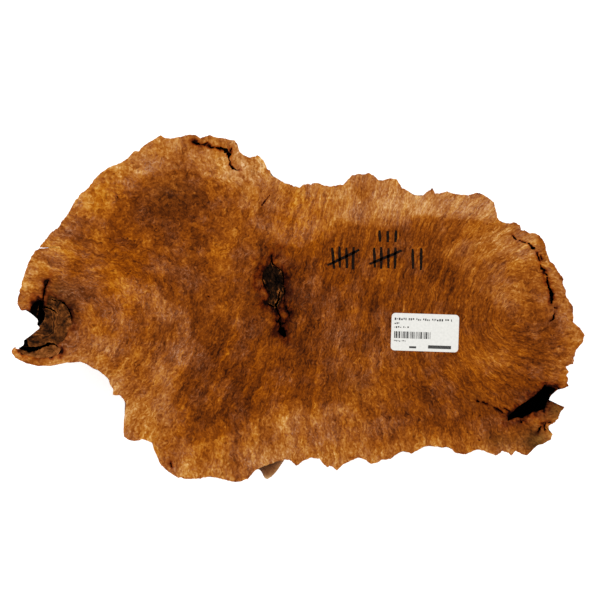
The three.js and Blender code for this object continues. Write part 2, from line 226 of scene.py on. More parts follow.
def natural_side(edge, smoothed, turns):
    """A row of points for each turn, from 0 at the sawn edge to 1 under the belly. Each rib is a quarter of
    a superellipse from the edge to the spine, and bumps of four sizes stand out square to it."""
    spine = on_spine(nearest_share(smoothed))
    angle = np.asarray(turns)[:, None] * math.pi / 2
    spread = np.cos(angle).clip(0) ** (2 / DOME_POWER)
    fall = np.sin(angle) ** (2 / DOME_POWER)
    waist = WAIST_RISE * bell(spine[:, 0] - WAIST_X, WAIST_SPREAD)
    depth = (THICKNESS - BELLY_CLEARANCE - waist) * fall
    faded = smooth(depth, 0, SPIKE_DEPTH)[..., None]
    rib = edge * (1 - faded) + smoothed * faded - spine
    point = np.concatenate([spine + rib * spread[..., None], (THICKNESS - depth)[..., None]], axis=-1)

    swell = SWELL_HEIGHT * smooth(bumps(point, SWELL_CELL), 0, 1)
    knob = KNOB_HEIGHT * bumps(point, KNOB_CELL)
    pip = PIP_HEIGHT * (bumps(point, PIP_CELL) - 1) + GRAIN_HEIGHT * bumps(point, GRAIN_CELL)
    relief = (swell + knob) * smooth(fall, RELIEF_START, RELIEF_FULL) + pip * smooth(depth, 0, PIP_DEPTH)
    inset = INSET * smooth(depth, 0, INSET_DEPTH)
    length = np.linalg.norm(rib, axis=-1)
    room = OVERHANG * (1 - spread) * length
    outward = np.minimum((relief - inset) * np.cos(angle), room)
    standing_out = 0
    for x, y, z, reach, width in LEDGES:
        standing_out = standing_out + reach * bell(np.linalg.norm(point - (x, y, z), axis=-1), width)
    outward += standing_out * smooth(depth, 0, LEDGE_START)
    heading = rib / length[..., None]
    point[..., :2] += heading * outward[..., None]
    for _ in range(INSIDE_ROUNDS):
        beyond = (-from_edge(point[..., :2], edge) - INSIDE_EDGE).clip(0) * (depth > 0)
        beyond = beyond * (standing_out < LEDGE_FREE)
        point[..., :2] -= heading * beyond[..., None]
    point[..., 2] -= relief * np.sin(angle)

    away = np.min([np.hypot(point[..., 0] - x, point[..., 1] - y) for x, y in FEET], axis=0)
    standing = bell(away, FOOT_REACH)
    point[..., 2] += (-FOOT_WORN - point[..., 2]) * standing
    point[..., 2] = np.maximum(point[..., 2], 0)
    return point


def strip(high, low):
    """Triangles between two closed rows of vertex numbers, the second with as many, half or twice as many."""
    high_next, low_next = np.roll(high, -1), np.roll(low, -1)
    if len(high) == len(low):
        parts = [(high, low, low_next), (high, low_next, high_next)]
    elif len(high) > len(low):
        first, second, third = high[0::2], high[1::2], high_next[1::2]
        parts = [(first, low, second), (second, low, low_next), (second, low_next, third)]
    else:
        first, second, third = low[0::2], low[1::2], low_next[1::2]
        parts = [(high, first, second), (high, second, high_next), (high_next, second, third)]
    faces = np.concatenate([np.stack(part, axis=1) for part in parts])
    a, b, c = faces.T
    return faces[(a != b) & (b != c) & (c != a)]


def new_object(name, vertices, faces, material, values=None):
    """An object in metres from vertices in mm and triples of vertex numbers, with named values of the
    vertices."""
    mesh = bpy.data.meshes.new(name)
    mesh.from_pydata((np.asarray(vertices, float) * MM).tolist(), [], np.asarray(faces).tolist())
    mesh.materials.append(material)
    for key, value in (values or {}).items():
        mesh.attributes.new(key, "FLOAT", "POINT").data.foreach_set("value", value)
    piece = bpy.data.objects.new(name, mesh)
    bpy.context.scene.collection.objects.link(piece)
    return piece


def wood_mesh():
    """Rows of points from the spine out over the sawn face to its edge, then down the natural side and in
    to the spine again. Rows far from the edge keep every second or fourth rib, and both sides fold shut on
    the knots of the spine."""
    tips = SAWN_EDGE[::-1] - (SAWN_EDGE.max(axis=0) + SAWN_EDGE.min(axis=0)) / 2
    tips *= (LENGTH, WIDTH) / np.ptp(tips, axis=0)
    edge = evenly_spaced(tips, EDGE_POINTS)
    smoothed = rolling_mean(edge, EDGE_SMOOTHING)
    spine = on_spine(nearest_share(smoothed))
    chance = np.random.default_rng(TEAR_SEED)
    torn = sum(rolling_mean(chance.normal(size=EDGE_POINTS), reach) * (2 * reach + 1) ** 0.5
               for reach in TEAR_LENGTHS)
    inward = (spine - edge) / np.linalg.norm(spine - edge, axis=1)[:, None]
    edge = edge + inward * np.abs(torn)[:, None] * TEAR

    table = []
    for share, every in FACE_SHARES:
        row = np.column_stack([spine + (edge - spine) * share, np.full(EDGE_POINTS, THICKNESS)])
        table.append(row[::every])
    turns = np.linspace(0, 1, SIDE_ROWS + 1)
    for n, row in enumerate(natural_side(edge, smoothed, turns[:-1])):
        table.append(row[:: 1 if n < FULL_SIDE_ROWS else 2])

    knots = on_spine(np.linspace(0, 1, SPINE_KNOTS + 1))
    at_knot = np.round(nearest_share(smoothed) * SPINE_KNOTS).astype(int)
    belly = natural_side(edge, smoothed, turns[-1:])[0, :, 2]
    belly_height = np.bincount(at_knot, belly) / np.bincount(at_knot)
    table.append(np.column_stack([knots, np.full(len(knots), THICKNESS)]))
    table.append(np.column_stack([knots, belly_height]))
    start = np.cumsum([0] + [len(row) for row in table])
    rows = [np.arange(start[n], start[n + 1]) for n in range(len(table))]
    ribs, top_knots, belly_knots = rows[:-2], rows[-2][at_knot[::4]], rows[-1][at_knot[::2]]
    faces = [strip(high, low) for high, low in zip([top_knots, *ribs], [*ribs, belly_knots])]
    return np.concatenate(table), np.concatenate(faces)


SAWN, NATURAL, DEAD = (bpy.data.materials.new(name) for name in (
    "sawn_mallee_burl", "weathered_burl_side", "dead_wood_and_bark"))
wood = new_object("burl_wood", *wood_mesh(), SAWN)
wood.data.materials.append(NATURAL)
wood.data.materials.append(DEAD)

# Where the wood is gone
# The burl grew round a branch that died, round bark and round two rotten pockets, and it split as it
# dried. Each place is cut out of the wood by a rough shape. The dead stub, with its arc of a crack, is left
# standing, a little sunk.

OVERCUT = 8
BRANCH_X, BRANCH_Y, BRANCH_Z = -219, -12, 70  # the middle of the dead branch

# The ring of a hollow, how far down its rows lie, the shares of the floor's rows, and the bumps of its wall
HOLLOW_POINTS = 96
WALL_STEPS = np.linspace(0.08, 1, 7)
FLOOR_SHARES = np.array([0.7, 0.4, 0.1])
WALL_CELL, WALL_FINE_CELL, WALL_FINE_SHARE, WALL_MEAN, WALL_START = 7, 3, 0.5, 0.4, 0.3

# A long cut: the mm between two of its points, how far it wanders, and its least half width
PATH_STEP, PATH_FEWEST, PATH_WANDER, THINNEST = 0.6, 6, 0.9, 0.06
WEDGE = [(0.3, 0.85), (1, 0.25)]  # shares of a crack's depth and of its width there
WEDGE_RAGGED = 0.6


def closed_rows(rows, ladder):
    """A closed body through rows of points, highest first. Its two ends are fans round their middles, or,
    for a ladder, rungs between the two sides of a long thin row."""
    rows = np.asarray(rows)
    count, width = rows.shape[:2]
    number = np.arange(count * width).reshape(count, width)
    faces = [strip(number[n], number[n + 1]) for n in range(count - 1)]
    vertices = rows.reshape(-1, 3)
    for row, turned in ((0, False), (count - 1, True)):
        if ladder:
            i = np.arange(width // 2 - 1)
            j = width - 1 - i
            ends = np.concatenate([np.stack([i, i + 1, j], 1), np.stack([i + 1, j - 1, j], 1)])
        else:
            i = np.arange(width)
            ends = np.stack([i, np.roll(i, -1), np.full(width, len(vertices) - number[row, 0])], 1)
            vertices = np.vstack([vertices, rows[row].mean(axis=0)])
        ends = ends + number[row, 0]
        faces.append(ends[:, ::-1] if turned else ends)
    return vertices, np.concatenate(faces)


def anticlockwise(outline):
    """The outline the other way round where its signed area is negative."""
    x, y = np.asarray(outline, float).T
    area = x @ np.roll(y, -1) - y @ np.roll(x, -1)
    return np.asarray(outline, float)[:: 1 if area > 0 else -1]


def hollow(outline, depth, taper, rough, tilt=(0, 0)):
    """Under an outline on the sawn face the wall narrows about its middle with the square of the depth, down
    to a floor that may tilt. Bumps of two sizes roughen both."""
    ring = evenly_spaced(anticlockwise(outline), HOLLOW_POINTS)
    middle = ring.mean(axis=0)
    down = np.concatenate([[-OVERCUT / depth], WALL_STEPS, np.ones(len(FLOOR_SHARES))])
    share = np.concatenate([[1], 1 + (taper - 1) * WALL_STEPS ** 2, taper * FLOOR_SHARES])
    flat = middle + (ring - middle) * share[:, None, None]
    sunk = (depth * down)[:, None] + (flat - middle) @ np.array(tilt) * smooth(down, 0, 1)[:, None]
    point = np.concatenate([flat, (THICKNESS - sunk)[..., None]], axis=-1)
    height = rough * (bumps(point, WALL_CELL) + WALL_FINE_SHARE * bumps(point, WALL_FINE_CELL) - WALL_MEAN)
    height = height * smooth(down, 0, WALL_START)[:, None]
    outward = (flat - middle) / (np.linalg.norm(flat - middle, axis=-1)[..., None] + 1)
    point[..., :2] += outward * height[..., None]
    point[..., 2] += height
    return closed_rows(point, ladder=False)


def carried(path, widths, levels, ragged, seed):
    """A long thin shape: a width that changes along a path and strays by a rolling draw, at each level of a
    list of heights and shares of that width."""
    path = np.asarray(path, float)
    length = np.linalg.norm(np.diff(path, axis=0), axis=1).sum()
    count = max(PATH_FEWEST, int(length / PATH_STEP))
    line = evenly_spaced(path, count, closed=False)
    along = np.gradient(line, axis=0)
    side = np.column_stack([-along[:, 1], along[:, 0]]) / np.linalg.norm(along, axis=1)[:, None]
    width = np.interp(np.linspace(0, 1, count), np.linspace(0, 1, len(widths)), widths)
    chance = np.random.default_rng(seed)
    strays = [rolling_mean(chance.normal(size=count), 1) * ragged for _ in range(2)]
    line = line + side * (rolling_mean(chance.normal(size=count), 2) * ragged * PATH_WANDER)[:, None]
    left, right = (np.maximum(width / 2 * (1 + stray), THINNEST) for stray in strays)
    rows = []
    for height, share in levels:
        there, back = line - side * (right * share)[:, None], line + side * (left * share)[:, None]
        ring = np.vstack([there, back[::-1]])
        rows.append(np.column_stack([ring, np.full(len(ring), height)]))
    return closed_rows(rows, ladder=True)


def crack(path, widths, depth, seed):
    """A wedge along a path, open above and nearly closed at its foot."""
    levels = [(THICKNESS + OVERCUT, 1)] + [(THICKNESS - down * depth, share) for down, share in WEDGE]
    return carried(path, widths, levels, WEDGE_RAGGED, seed)


def joined(bodies):
    """The vertices and the faces of several bodies as one body. The vertex numbers of each count on from
    those before it."""
    starts = np.cumsum([0] + [len(vertices) for vertices, _ in bodies])
    faces = [faces + start for (_, faces), start in zip(bodies, starts)]
    return np.vstack([vertices for vertices, _ in bodies]), np.vstack(faces)


STUB_END = [(-211, 11), (-200, 6.1), (-195.5, 0), (-191.7, -8.3), (-190.9, -12.1), (-194, -19.6),
            (-198.5, -28), (-206, -32), (-225.7, -35.4), (-236, -31), (-221, -12), (-214, -2)]
LIP_DISH = [(-237, -36), (-232.5, -39.5), (-221, -42.5), (-210, -42), (-203, -39.5), (-200.5, -34.5),
            (-206, -30.5), (-214, -31), (-226, -34)]
DARK_GAP = [(-217.6, 6.5), (-219.5, 2), (-220, -4), (-222.5, -9.5), (-222, -14), (-220, -17), (-217.3, -14),
            (-214.6, -9.8), (-213.8, -4.4), (-216, -0.7), (-215.2, 4)]
DARK_LEDGE = [(-217.5, 7.2), (-222.5, 5), (-226, 1), (-227, -3), (-225, -7), (-221, -10), (-218, -4),
              (-217, 2)]
STUB_TIP = [(-233, -25), (-229.5, -25.5), (-228.4, -30), (-227, -35), (-234, -35)]
LEFT_BITE = [(-262, 6), (-238, 4), (-234.5, -2.5), (-230.5, -2), (-224.5, -6), (-220, -10.5), (-221, -14),
             (-218.5, -17), (-227, -24), (-232, -27.5), (-232, -31.5), (-235.5, -33.6), (-239, -32.7),
             (-241.6, -34.6), (-242.9, -37.5), (-262, -37.5)]
RIGHT_BITE = [(252, -66), (229.5, -66.5), (226, -68), (219.5, -69.5), (214, -74.5), (212.5, -78),
              (222, -82.5), (226, -84), (252, -85)]
BARK = [(-22.4, 42.6), (-23.8, 37), (-27.3, 34.2), (-29.8, 28.6), (-30.5, 23.7), (-29.4, 20.2), (-26.6, 16),
        (-23.8, 13.2), (-24.5, 8.2), (-25.9, 4), (-22.4, 1.9), (-18.9, -0.9), (-16.8, 1.2), (-14.7, 6.1),
        (-12.2, 9.6), (-11.5, 13.8), (-12.2, 19.4), (-13, 26.5), (-14, 32.1), (-17.5, 33.8), (-20.7, 35.9)]
BARK_TAIL = [(-17.2, -20.2), (-15.6, -15.4), (-12, -16.4), (-10.6, -19.6), (-9.6, -24.2), (-11.6, -25.2),
             (-14.4, -23)]
BLACK_POCKET = [(177.3, -96.1), (178, -91.1), (182.2, -87.7), (185.7, -84.1), (192, -79.9),
                (197.6, -76.4), (201.8, -72.9), (206.1, -68.7), (208.9, -64.5), (210.6, -66.8),
                (212.3, -66.2), (219.5, -68.7), (215.5, -71.8), (213.1, -73.6), (214.2, -75.7),
                (211.7, -78.5), (208.9, -85.6), (203.2, -87.7), (198.5, -88.2), (196.3, -90.2),
                (192.4, -91.4), (190, -94), (186, -92.8), (182.2, -93.9)]
SLIT = [(-239, -34), (-236.3, -34), (-231.7, -34.4), (-225.7, -35.6), (-220, -34.2), (-214.4, -32),
        (-210.6, -30.6), (-206.1, -31), (-203, -33.4)]
SLIT_WIDTHS = [1.6, 2.6, 4.4, 4.6, 3.2, 2, 2.6, 1.6, 0.6]
SLIT_LEVELS = [(THICKNESS + OVERCUT, 1), (THICKNESS - 8, 1), (THICKNESS - 23, 0.6)]

CUTS = [
    # a shape and how dark it is inside: charring, bark and rot, and in the cracks, gaps and deep pocket
    # also painted shade; a hollow's depth, taper and roughness follow its outline
    (hollow(LEFT_BITE, 90, 1, 0.5), 0.35),
    (hollow(RIGHT_BITE, 90, 1, 0.5), 0.3),
    (hollow(STUB_END, 2.4, 0.97, 0.8, tilt=(-0.12, 0.03)), 0.25),
    (hollow(LIP_DISH, 3, 0.45, 0.4, tilt=(0, 0.25)), -0.04),
    (hollow(DARK_LEDGE, 6, 0.8, 1.8), 0.8),
    (hollow(DARK_GAP, 26, 0.8, 1.2), 1),
    (hollow(STUB_TIP, 9, 0.9, 1.2), 0.9),
    (carried(SLIT, SLIT_WIDTHS, SLIT_LEVELS, 0.3, 3), 1),
    (hollow(BARK, 1.4, 0.92, 1.3), 0.55),
    (hollow(BARK_TAIL, 5, 0.6, 1.4), 0.85),
    (hollow(BLACK_POCKET, 32, 0.75, 3), 1),
]
CRACKS = [
    # path, widths along it, depth, spread of its stain
    # over the dead stub and round it
    ([(-211.4, 23.2), (-213.4, 19.3), (-214.8, 13.5), (-215.8, 9.1), (-216.2, 5)],
     [0.8, 1.7, 1.3, 1.2, 2.4], 12, 4),
    ([(-218.7, 1.3), (-212.4, 0.1), (-206.6, -2.1), (-202.7, -5.7)], [2.4, 2.1, 1.7, 0.4], 9, 2),
    ([(-208.5, 7.2), (-204.6, 5.6)], [1.7, 1], 6, 2),
    ([(-203.2, 6.6), (-198.3, 4.3), (-195.8, 1.8), (-193.5, -3), (-192, -7.4), (-190.5, -11.8)],
     [0.8, 1.9, 1.1, 1.4, 1.2, 0.3], 12, 2.5),
    # round the bark and below it
    ([(-22.4, 45), (-22.2, 38), (-18, 34.4), (-14.4, 32.6)], [0.5, 1.9, 1.2, 0.9], 7, 3),
    ([(-14.2, 33), (-12.8, 27), (-12.1, 19)], [1, 1.7, 1.5], 8, 3),
    ([(-11.9, 16.7), (-11.5, 9.6), (-11.2, 1.9), (-8.7, -3), (-6.9, -8.6)], [1.4, 0.8, 0.7, 0.9, 0.4], 7, 3),
    ([(-30.4, 26), (-29.6, 21), (-26.4, 16), (-23.6, 12.4)], [0.7, 1.8, 1.3, 0.6], 8, 3),
    ([(-25, 7.4), (-24.8, 3.4), (-20, 0.2)], [0.8, 1.8, 1.3], 8, 3),
    ([(-15.2, 15.4), (-16.1, 12.5), (-16.8, 6.8), (-18.9, 1.2), (-16.8, -3.7), (-15.1, -8.6), (-16.2, -12.4)],
     [0.8, 2.4, 1.9, 3.4, 1.6, 1.5, 2.2], 12, 4),
    ([(-19.2, -10), (-17.6, -12.6), (-15.8, -11.8), (-13.2, -13.6), (-10.9, -12.3), (-10, -10.8)],
     [0.3, 1.6, 0.8, 1.9, 0.8, 0.3], 8, 2),
    ([(-15.6, -13), (-14.6, -16.4)], [1.8, 2.2], 9, 3),
    # under the crown of the left lobe
    ([(-90, 140.8), (-86.8, 139.9), (-84.4, 138.9), (-82.6, 138.2)], [0.4, 1.6, 3, 1.4], 3, 2),
    ([(-82, 138), (-79, 138.2), (-76.7, 139.7)], [0.4, 0.9, 0.5], 3, 1),
    ([(-75.2, 137.4), (-73, 136.2), (-71.2, 135.8)], [1, 2.7, 1.2], 3.5, 2),
    ([(-70.6, 136.4), (-68, 135.2), (-65.2, 134.6), (-62, 133.4), (-59, 131.8), (-58.4, 127), (-58, 120.8)],
     [0.8, 2.1, 1.5, 3.6, 4.4, 2.1, 1.7, 0.9], 4, 1.6),
    ([(-56.2, 135.6), (-57.6, 132.8)], [1.5, 0.8], 3, 2),
    ([(-57.6, 120.4), (-55.2, 118.7), (-53.3, 117.4), (-51.5, 116.7), (-49.5, 116.8)],
     [0.9, 2.7, 2, 1.5, 0.4], 6, 1.3),
    # along the right shoulder
    ([(181.7, 61.3), (183.2, 59.1), (185, 57.5)], [0.7, 1.7, 0.9], 7, 0.8),
    ([(187.2, 57.1), (188.2, 56.9)], [0.9, 0.8], 4, 0.6),
    ([(189.1, 55.9), (191, 55.8), (193, 55.2)], [0.5, 1.2, 0.9], 5, 0.8),
    ([(194.6, 54.6), (196.2, 53.7)], [1.5, 1.7], 6, 0.8),
    ([(196.8, 52.9), (198.8, 51.2), (200.8, 50.3)], [0.9, 2.3, 1.9], 8, 0.8),
    ([(202.3, 46.6), (203.2, 43.2), (204.4, 39.9)], [0.8, 2.3, 1], 9, 1.2),
    ([(205.2, 44), (206.2, 41.4)], [0.9, 1.5], 6, 1),
    ([(205.3, 36.4), (206.8, 33.4), (209, 31)], [0.9, 2.3, 1.1], 9, 1.5),
    ([(209.2, 29.6), (211.4, 27.3)], [1.5, 1.2], 7, 2),
    ([(210.8, 26.2), (211.8, 21), (213.4, 15.4), (215, 10.6), (214.8, 7), (214.6, 3.4)],
     [1.2, 2.1, 2.4, 3.0, 4.3, 3, 1.4], 14, 2.5),
    ([(215.4, 11.4), (217.4, 11.9)], [1.3, 0.6], 7, 1),
    ([(216.8, 0.7), (219.3, -0.2)], [1.4, 0.9], 5, 0.8),
    ([(217.6, -4.6), (216.4, -8.4), (213.2, -11.6)], [0.3, 2.4, 0.9], 6, 1),
    # round the black pocket
    ([(151.3, -78.8), (153.6, -79.4)], [1.8, 1.1], 5, 1),
    ([(156, -79.7), (160.5, -81.5)], [1.7, 0.6], 5, 1),
    ([(165.7, -84), (169.6, -86.2), (173.5, -88.9)], [0.6, 1, 0.8], 5, 1),
    ([(174.6, -84.9), (179.5, -87.8)], [0.6, 0.9], 5, 1),
    ([(188.4, -96), (189.4, -97.8)], [1.6, 1.4], 5, 1.5),
    ([(153, -111.6), (153.8, -112.4)], [1.2, 1], 4, 1),
    ([(206, -100.4), (204.4, -102.6), (203.2, -105.6)], [1, 2.6, 2], 4, 2.5),
    ([(209.8, -98), (207.8, -100.6), (209.4, -103.8)], [0.6, 1.4, 1.8], 3, 2),
    ([(211.8, -97.4), (213.2, -97), (214.4, -97.4)], [0.8, 1.5, 0.6], 2, 2),
    # single pips, the split in the left shoulder, and a short cut under the saddle
    ([(-76.4, 10.4), (-75.2, 9.4)], [1.2, 1.2], 4, 0.8),
    ([(-153.6, 94.6), (-152.6, 92.8)], [1.4, 1.2], 4, 1.5),
    ([(-107.9, -131.4), (-107, -134.8)], [1, 1.4], 6, 1.5),
    ([(-224, 50.9), (-216, 50.9), (-207, 51.4), (-199.8, 50.2)], [0.9, 0.7, 0.4, 0.15], 20, 0),
    ([(-30.5, 87), (-27.6, 91), (-23.7, 95.5)], [0.15, 0.4, 0.15], 3, 0.4),
]
# the cracks get full darkness: their walls are black as painted shade
CUTS += [(crack(path, widths, depth, n), 1) for n, (path, widths, depth, _) in enumerate(CRACKS)]


def apart(box, boxes):
    """True where the box lies clear of each of the others, seen from above."""
    return all(np.any(box[0] > other[1]) or np.any(box[1] < other[0]) for other in boxes)


# Shapes that lie apart from one another are cut together
together = []
for body, char in CUTS:
    box = np.array([body[0].min(axis=0), body[0].max(axis=0)])[:, :2]
    batch = next((batch for batch in together if apart(box, [other for other, _, _ in batch])), None)
    if batch is None:
        batch = []
        together.append(batch)
    batch.append((box, body, np.full(len(body[0]), char, float)))
cutters = []
for n, batch in enumerate(together):
    char_and_shade_values = np.concatenate([char for _, _, char in batch])
    cutter = new_object(f"cut_{n}", *joined([body for _, body, _ in batch]), DEAD, {"char": char_and_shade_values})
    modifier = wood.modifiers.new(cutter.name, "BOOLEAN")
    modifier.operation, modifier.solver, modifier.object = "DIFFERENCE", "MANIFOLD", cutter
    modifier.material_mode = "TRANSFER"
    cutters.append(cutter)
view = bpy.context.evaluated_depsgraph_get()
cut_mesh = bpy.data.meshes.new_from_object(wood.evaluated_get(view), depsgraph=view)
wood.modifiers.clear()
wood.data = cut_mesh
for cutter in cutters:
    bpy.data.objects.remove(cutter)

# The figure of the wood
# The grain of a burl runs round every bud, so it streams, curls and swirls. How it streams on the sawn face
# is drawn here with short strokes. What lies across the stream is a distance, and the colours follow it.

STROKES = np.array([  # x and y in mm, and the direction of the grain in degrees
    (-163, 79, 62), (-142, 121, 40), (-108, 125, 72), (-70, 129, 95), (-117, 79, 55), (-83, 74, 48),
    (-45, 112, 130), (-41, 79, 110), (-15, 79, 72), (19, 74, 82), (52, 87, 95), (95, 83, 50), (137, 70, 15),
    (163, 53, 25), (179, 62, 5), (205, 32, 300), (213, 7, 275), (209, -32, 215), (188, -53, 185),
    (146, -53, 165), (129, -23, 135), (112, 7, 45), (146, 7, 60), (120, 32, 30), (86, 32, 60),
    (171, -95, 130), (205, -112, 150), (112, -95, 85), (86, -112, 88), (57, -87, 100), (27, -104, 95),
    (2, -112, 95), (-24, -112, 95), (-49, -120, 90), (-75, -120, 95), (-117, -116, 100), (-125, -78, 65),
    (-142, -2, 48), (-168, -36, 45), (-163, -15, 80), (-159, 7, 120), (-176, 23, 145), (-202, 32, 165),
    (-142, 34, 150), (-223, 23, 75), (-197, 45, 110), (-202, -40, 10), (-125, 15, 85), (-58, -53, 62),
    (-83, -44, 60), (-24, -61, 65), (10, -61, 70), (44, -36, 65), (86, -27, 60), (36, 7, 75), (2, 7, 75),
    (-100, 7, 75), (-70, 15, 65), (-49, 40, 75),
])
STROKE_REACH, STROKE_LEAST = 25, 1e-9
GRID = 2.0  # mm between two points of the grid
GRID_X, GRID_Y = np.arange(-264, 265, GRID), np.arange(-164, 165, GRID)


def figure_grid():
    """The distance across the grain at each point of a grid. Its slope is fitted to the strokes' normals by
    Poisson's equation, solved with a fast Fourier transform of the grid mirrored both ways."""
    x, y = np.meshgrid(GRID_X, GRID_Y, indexing="ij")
    normal, total = np.zeros((2,) + x.shape), 0
    for stroke_x, stroke_y, degrees in STROKES:
        weight = bell(np.hypot(x - stroke_x, y - stroke_y), STROKE_REACH) + STROKE_LEAST
        turn = math.radians(degrees - 90)
        normal += weight * np.array([math.cos(turn), math.sin(turn)])[:, None, None]
        total = total + weight
    normal /= total
    normal /= np.linalg.norm(normal, axis=0) + 0.1
    slope = np.gradient(normal[0], GRID, axis=0) + np.gradient(normal[1], GRID, axis=1)
    mirrored = np.block([[slope, slope[:, ::-1]], [slope[::-1], slope[::-1, ::-1]]])
    wave_x, wave_y = (2 * np.cos(2 * math.pi * np.fft.fftfreq(size)) - 2 for size in mirrored.shape)
    stiffness = (wave_x[:, None] + wave_y[None, :]) / GRID ** 2
    stiffness[0, 0] = 1
    field = np.fft.ifft2(np.fft.fft2(mirrored) / stiffness).real
    return field[: x.shape[0], : x.shape[1]]


def sampled(grid, points):
    """The grid's value at each point, between its four neighbours in a straight line each way."""
    u = (points[:, 0] - GRID_X[0]) / GRID
    v = (points[:, 1] - GRID_Y[0]) / GRID
    i, j = np.floor(u).astype(int), np.floor(v).astype(int)
    u, v = u - i, v - j
    low = grid[i, j] * (1 - v) + grid[i, j + 1] * v
    high = grid[i + 1, j] * (1 - v) + grid[i + 1, j + 1] * v
    return low * (1 - u) + high * u


# The outline of the burl's dark heart
HEART = np.array([
    (-157, 78), (-142, 104), (-117, 117), (-96, 119), (-70, 108), (-49, 100), (-39, 78), (-30, 57), (2, 49),
    (27, 62), (40, 70), (86, 73), (129, 78), (171, 70), (146, 57), (120, 49), (133, 36), (146, 19), (171, -2),
    (196, -19), (209, -36), (201, -57), (209, -70), (188, -78), (163, -95), (129, -104), (86, -99),
    (52, -91), (36, -82), (10, -87), (2, -81), (-11, -82), (-30, -91), (-53, -105), (-91, -112),
    (-104, -99), (-108, -78), (-100, -57), (-96, -36), (-91, -10), (-100, 7), (-125, 19), (-151, 28),
    (-159, 53),
])
# Patches that are lighter or darker, olive, more orange, scuffed and painted with sheen, or more curled. Each
# is x, y, half its length, half its width, its turn in degrees, and how strong it is, where more tone is
# lighter.
TONES = [
    (-96, 70, 42, 34, 20, -0.10), (-14, 10, 26, 52, 0, -0.12), (75, 5, 60, 40, 0, -0.05),
    (-60, -58, 46, 34, 20, -0.06), (190, -60, 40, 26, 30, -0.12), (180, -100, 44, 20, 20, -0.10),
    (110, 86, 60, 12, 0, 0.16), (-12, -105, 52, 20, 0, 0.12), (60, -72, 22, 12, 0, 0.12),
    (-135, 10, 26, 30, -30, 0.06), (-206, 40, 22, 18, 60, 0.10), (-60, 122, 40, 14, -10, 0.12),
    (-120, -85, 18, 30, 0, 0.08), (150, 40, 36, 20, 10, 0.06), (-196, 3, 15, 20, 0, -0.16),
    (219, -85, 9, 8, 0, -0.26), (200, -116, 8, 10, -30, -0.28), (-222, 4, 8, 6, 20, -0.1),
    (183.8, 72.6, 3, 3, 0, -0.3), (191.8, 65.5, 3, 3, 0, -0.3), (206.7, 58.6, 4, 4, 0, -0.3),
    (216.5, 36.9, 3, 3, 0, -0.3), (224, 25.6, 3, 3, 0, -0.3), (226.5, 18, 2, 5, 0, -0.3),
    (232.5, 0.7, 3, 4, 0, -0.3), (113.5, 101.5, 3, 3, 0, -0.3), (119, 90, 1.5, 3, -35, -0.25),
    (154, 95, 3, 3, 0, -0.25), (-87.7, 147.5, 3, 2, 0, -0.2), (-34.5, 129.5, 4, 2, 0, -0.2),
    (-24.3, 117.3, 3, 3, 0, -0.3),
    (-53, 68, 18, 48, 0, 0.12), (-184, 52, 24, 40, -30, -0.13), (-145, -8, 58, 26, -15, -0.14),
    (138, 32, 34, 15, 0, -0.11), (150, 66, 26, 15, 0, 0.11), (204, -14, 24, 22, -45, -0.11),
    (172, -38, 34, 13, 0, 0.10), (-38, -70, 36, 18, 0, -0.11), (14, -2, 18, 20, 0, -0.10),
    (112, -72, 24, 16, 0, -0.10), (95, -106, 95, 14, 0, -0.10), (-50, -106, 24, 14, 0, -0.10),
    (48, 84, 22, 30, 0, 0.08), (-118, 100, 34, 20, 0, 0.06), (-60, 100, 20, 14, 0, 0.06),
    (-20, 92, 18, 20, 0, -0.07), (-150, 20, 22, 30, 0, -0.05), (-125, -40, 18, 20, 0, -0.07),
    (220, -36, 16, 20, 0, -0.10), (184, -38, 14, 14, 0, 0.05), (160, -108, 50, 14, 0, -0.08),
    (30, -105, 40, 14, 0, -0.05), (-205, -30, 16, 14, 0, -0.06), (165, -58, 34, 24, 0, 0.06),
    (-104, -106, 30, 16, 0, -0.06), (-84, 50, 34, 26, 60, 0.05),
]
OLIVES = [(219, -86, 12, 12, 0, 0.85), (204, -112, 14, 15, -30, 0.85), (172, -113, 24, 10, 0, 0.6),
          (150, -78, 12, 12, 0, 0.35), (-107, 98, 28, 20, 10, 0.35), (48, -70, 20, 16, 0, 0.3),
          (-200, -6, 16, 24, 0, 0.5), (-206, 18, 14, 10, 0, 0.3)]
GLOWS = [(-196, 3, 16, 20, 0, -1), (219, -85, 10, 9, 0, -1.6), (202, -116, 10, 10, 0, -1.6),
         (-108, 96, 30, 22, 10, -0.5), (-150, 52, 24, 60, 0, 0.4),
         (8, 72, 26, 34, 0, 0.7), (-150, 10, 30, 36, 0, 0.6), (-170, 100, 20, 24, 45, 0.6),
         (-190, 40, 30, 20, 0, 0.5), (-30, -60, 60, 30, 0, 0.4), (-90, -120, 40, 20, 0, 0.4),
         (150, -60, 60, 30, 0, 0.35), (40, 20, 60, 40, 0, 0.3)]
# The scuffed places, which carry the painted highlights and a painted sheen
SCUFFS_AND_SHEEN = [(-192, 6, 12, 16, 0, 0.8), (-100, 24, 22, 8, -30, 0.8), (-83, -44, 16, 20, 30, 0.6),
          (90, -70, 40, 22, 0, 0.1), (-94, -22, 8, 14, 0, 0.6), (-50, 0, 14, 44, 0, 0.5),
          (20, 0, 20, 50, 20, 0.5), (-108, 34, 26, 5, 0, 0.7), (60, -20, 40, 30, 0, 0.45),
          (-100, 78, 40, 30, 20, 0.1),
          (130, 86, 60, 16, 0, 0.6), (172, 14, 40, 40, 0, -0.5), (110, -112, 80, 14, 0, -0.4)]
CURLS = [(-110, 60, 50, 40, 0, 1.6), (-20, 20, 40, 60, 0, 1.2), (170, 20, 40, 40, 0, 1.0),
         (-150, 10, 30, 30, 0, 1.0), (80, -60, 70, 50, 0, 1.4), (-150, -60, 40, 30, 0, 1.2)]
CURL_EVERYWHERE = 1.2


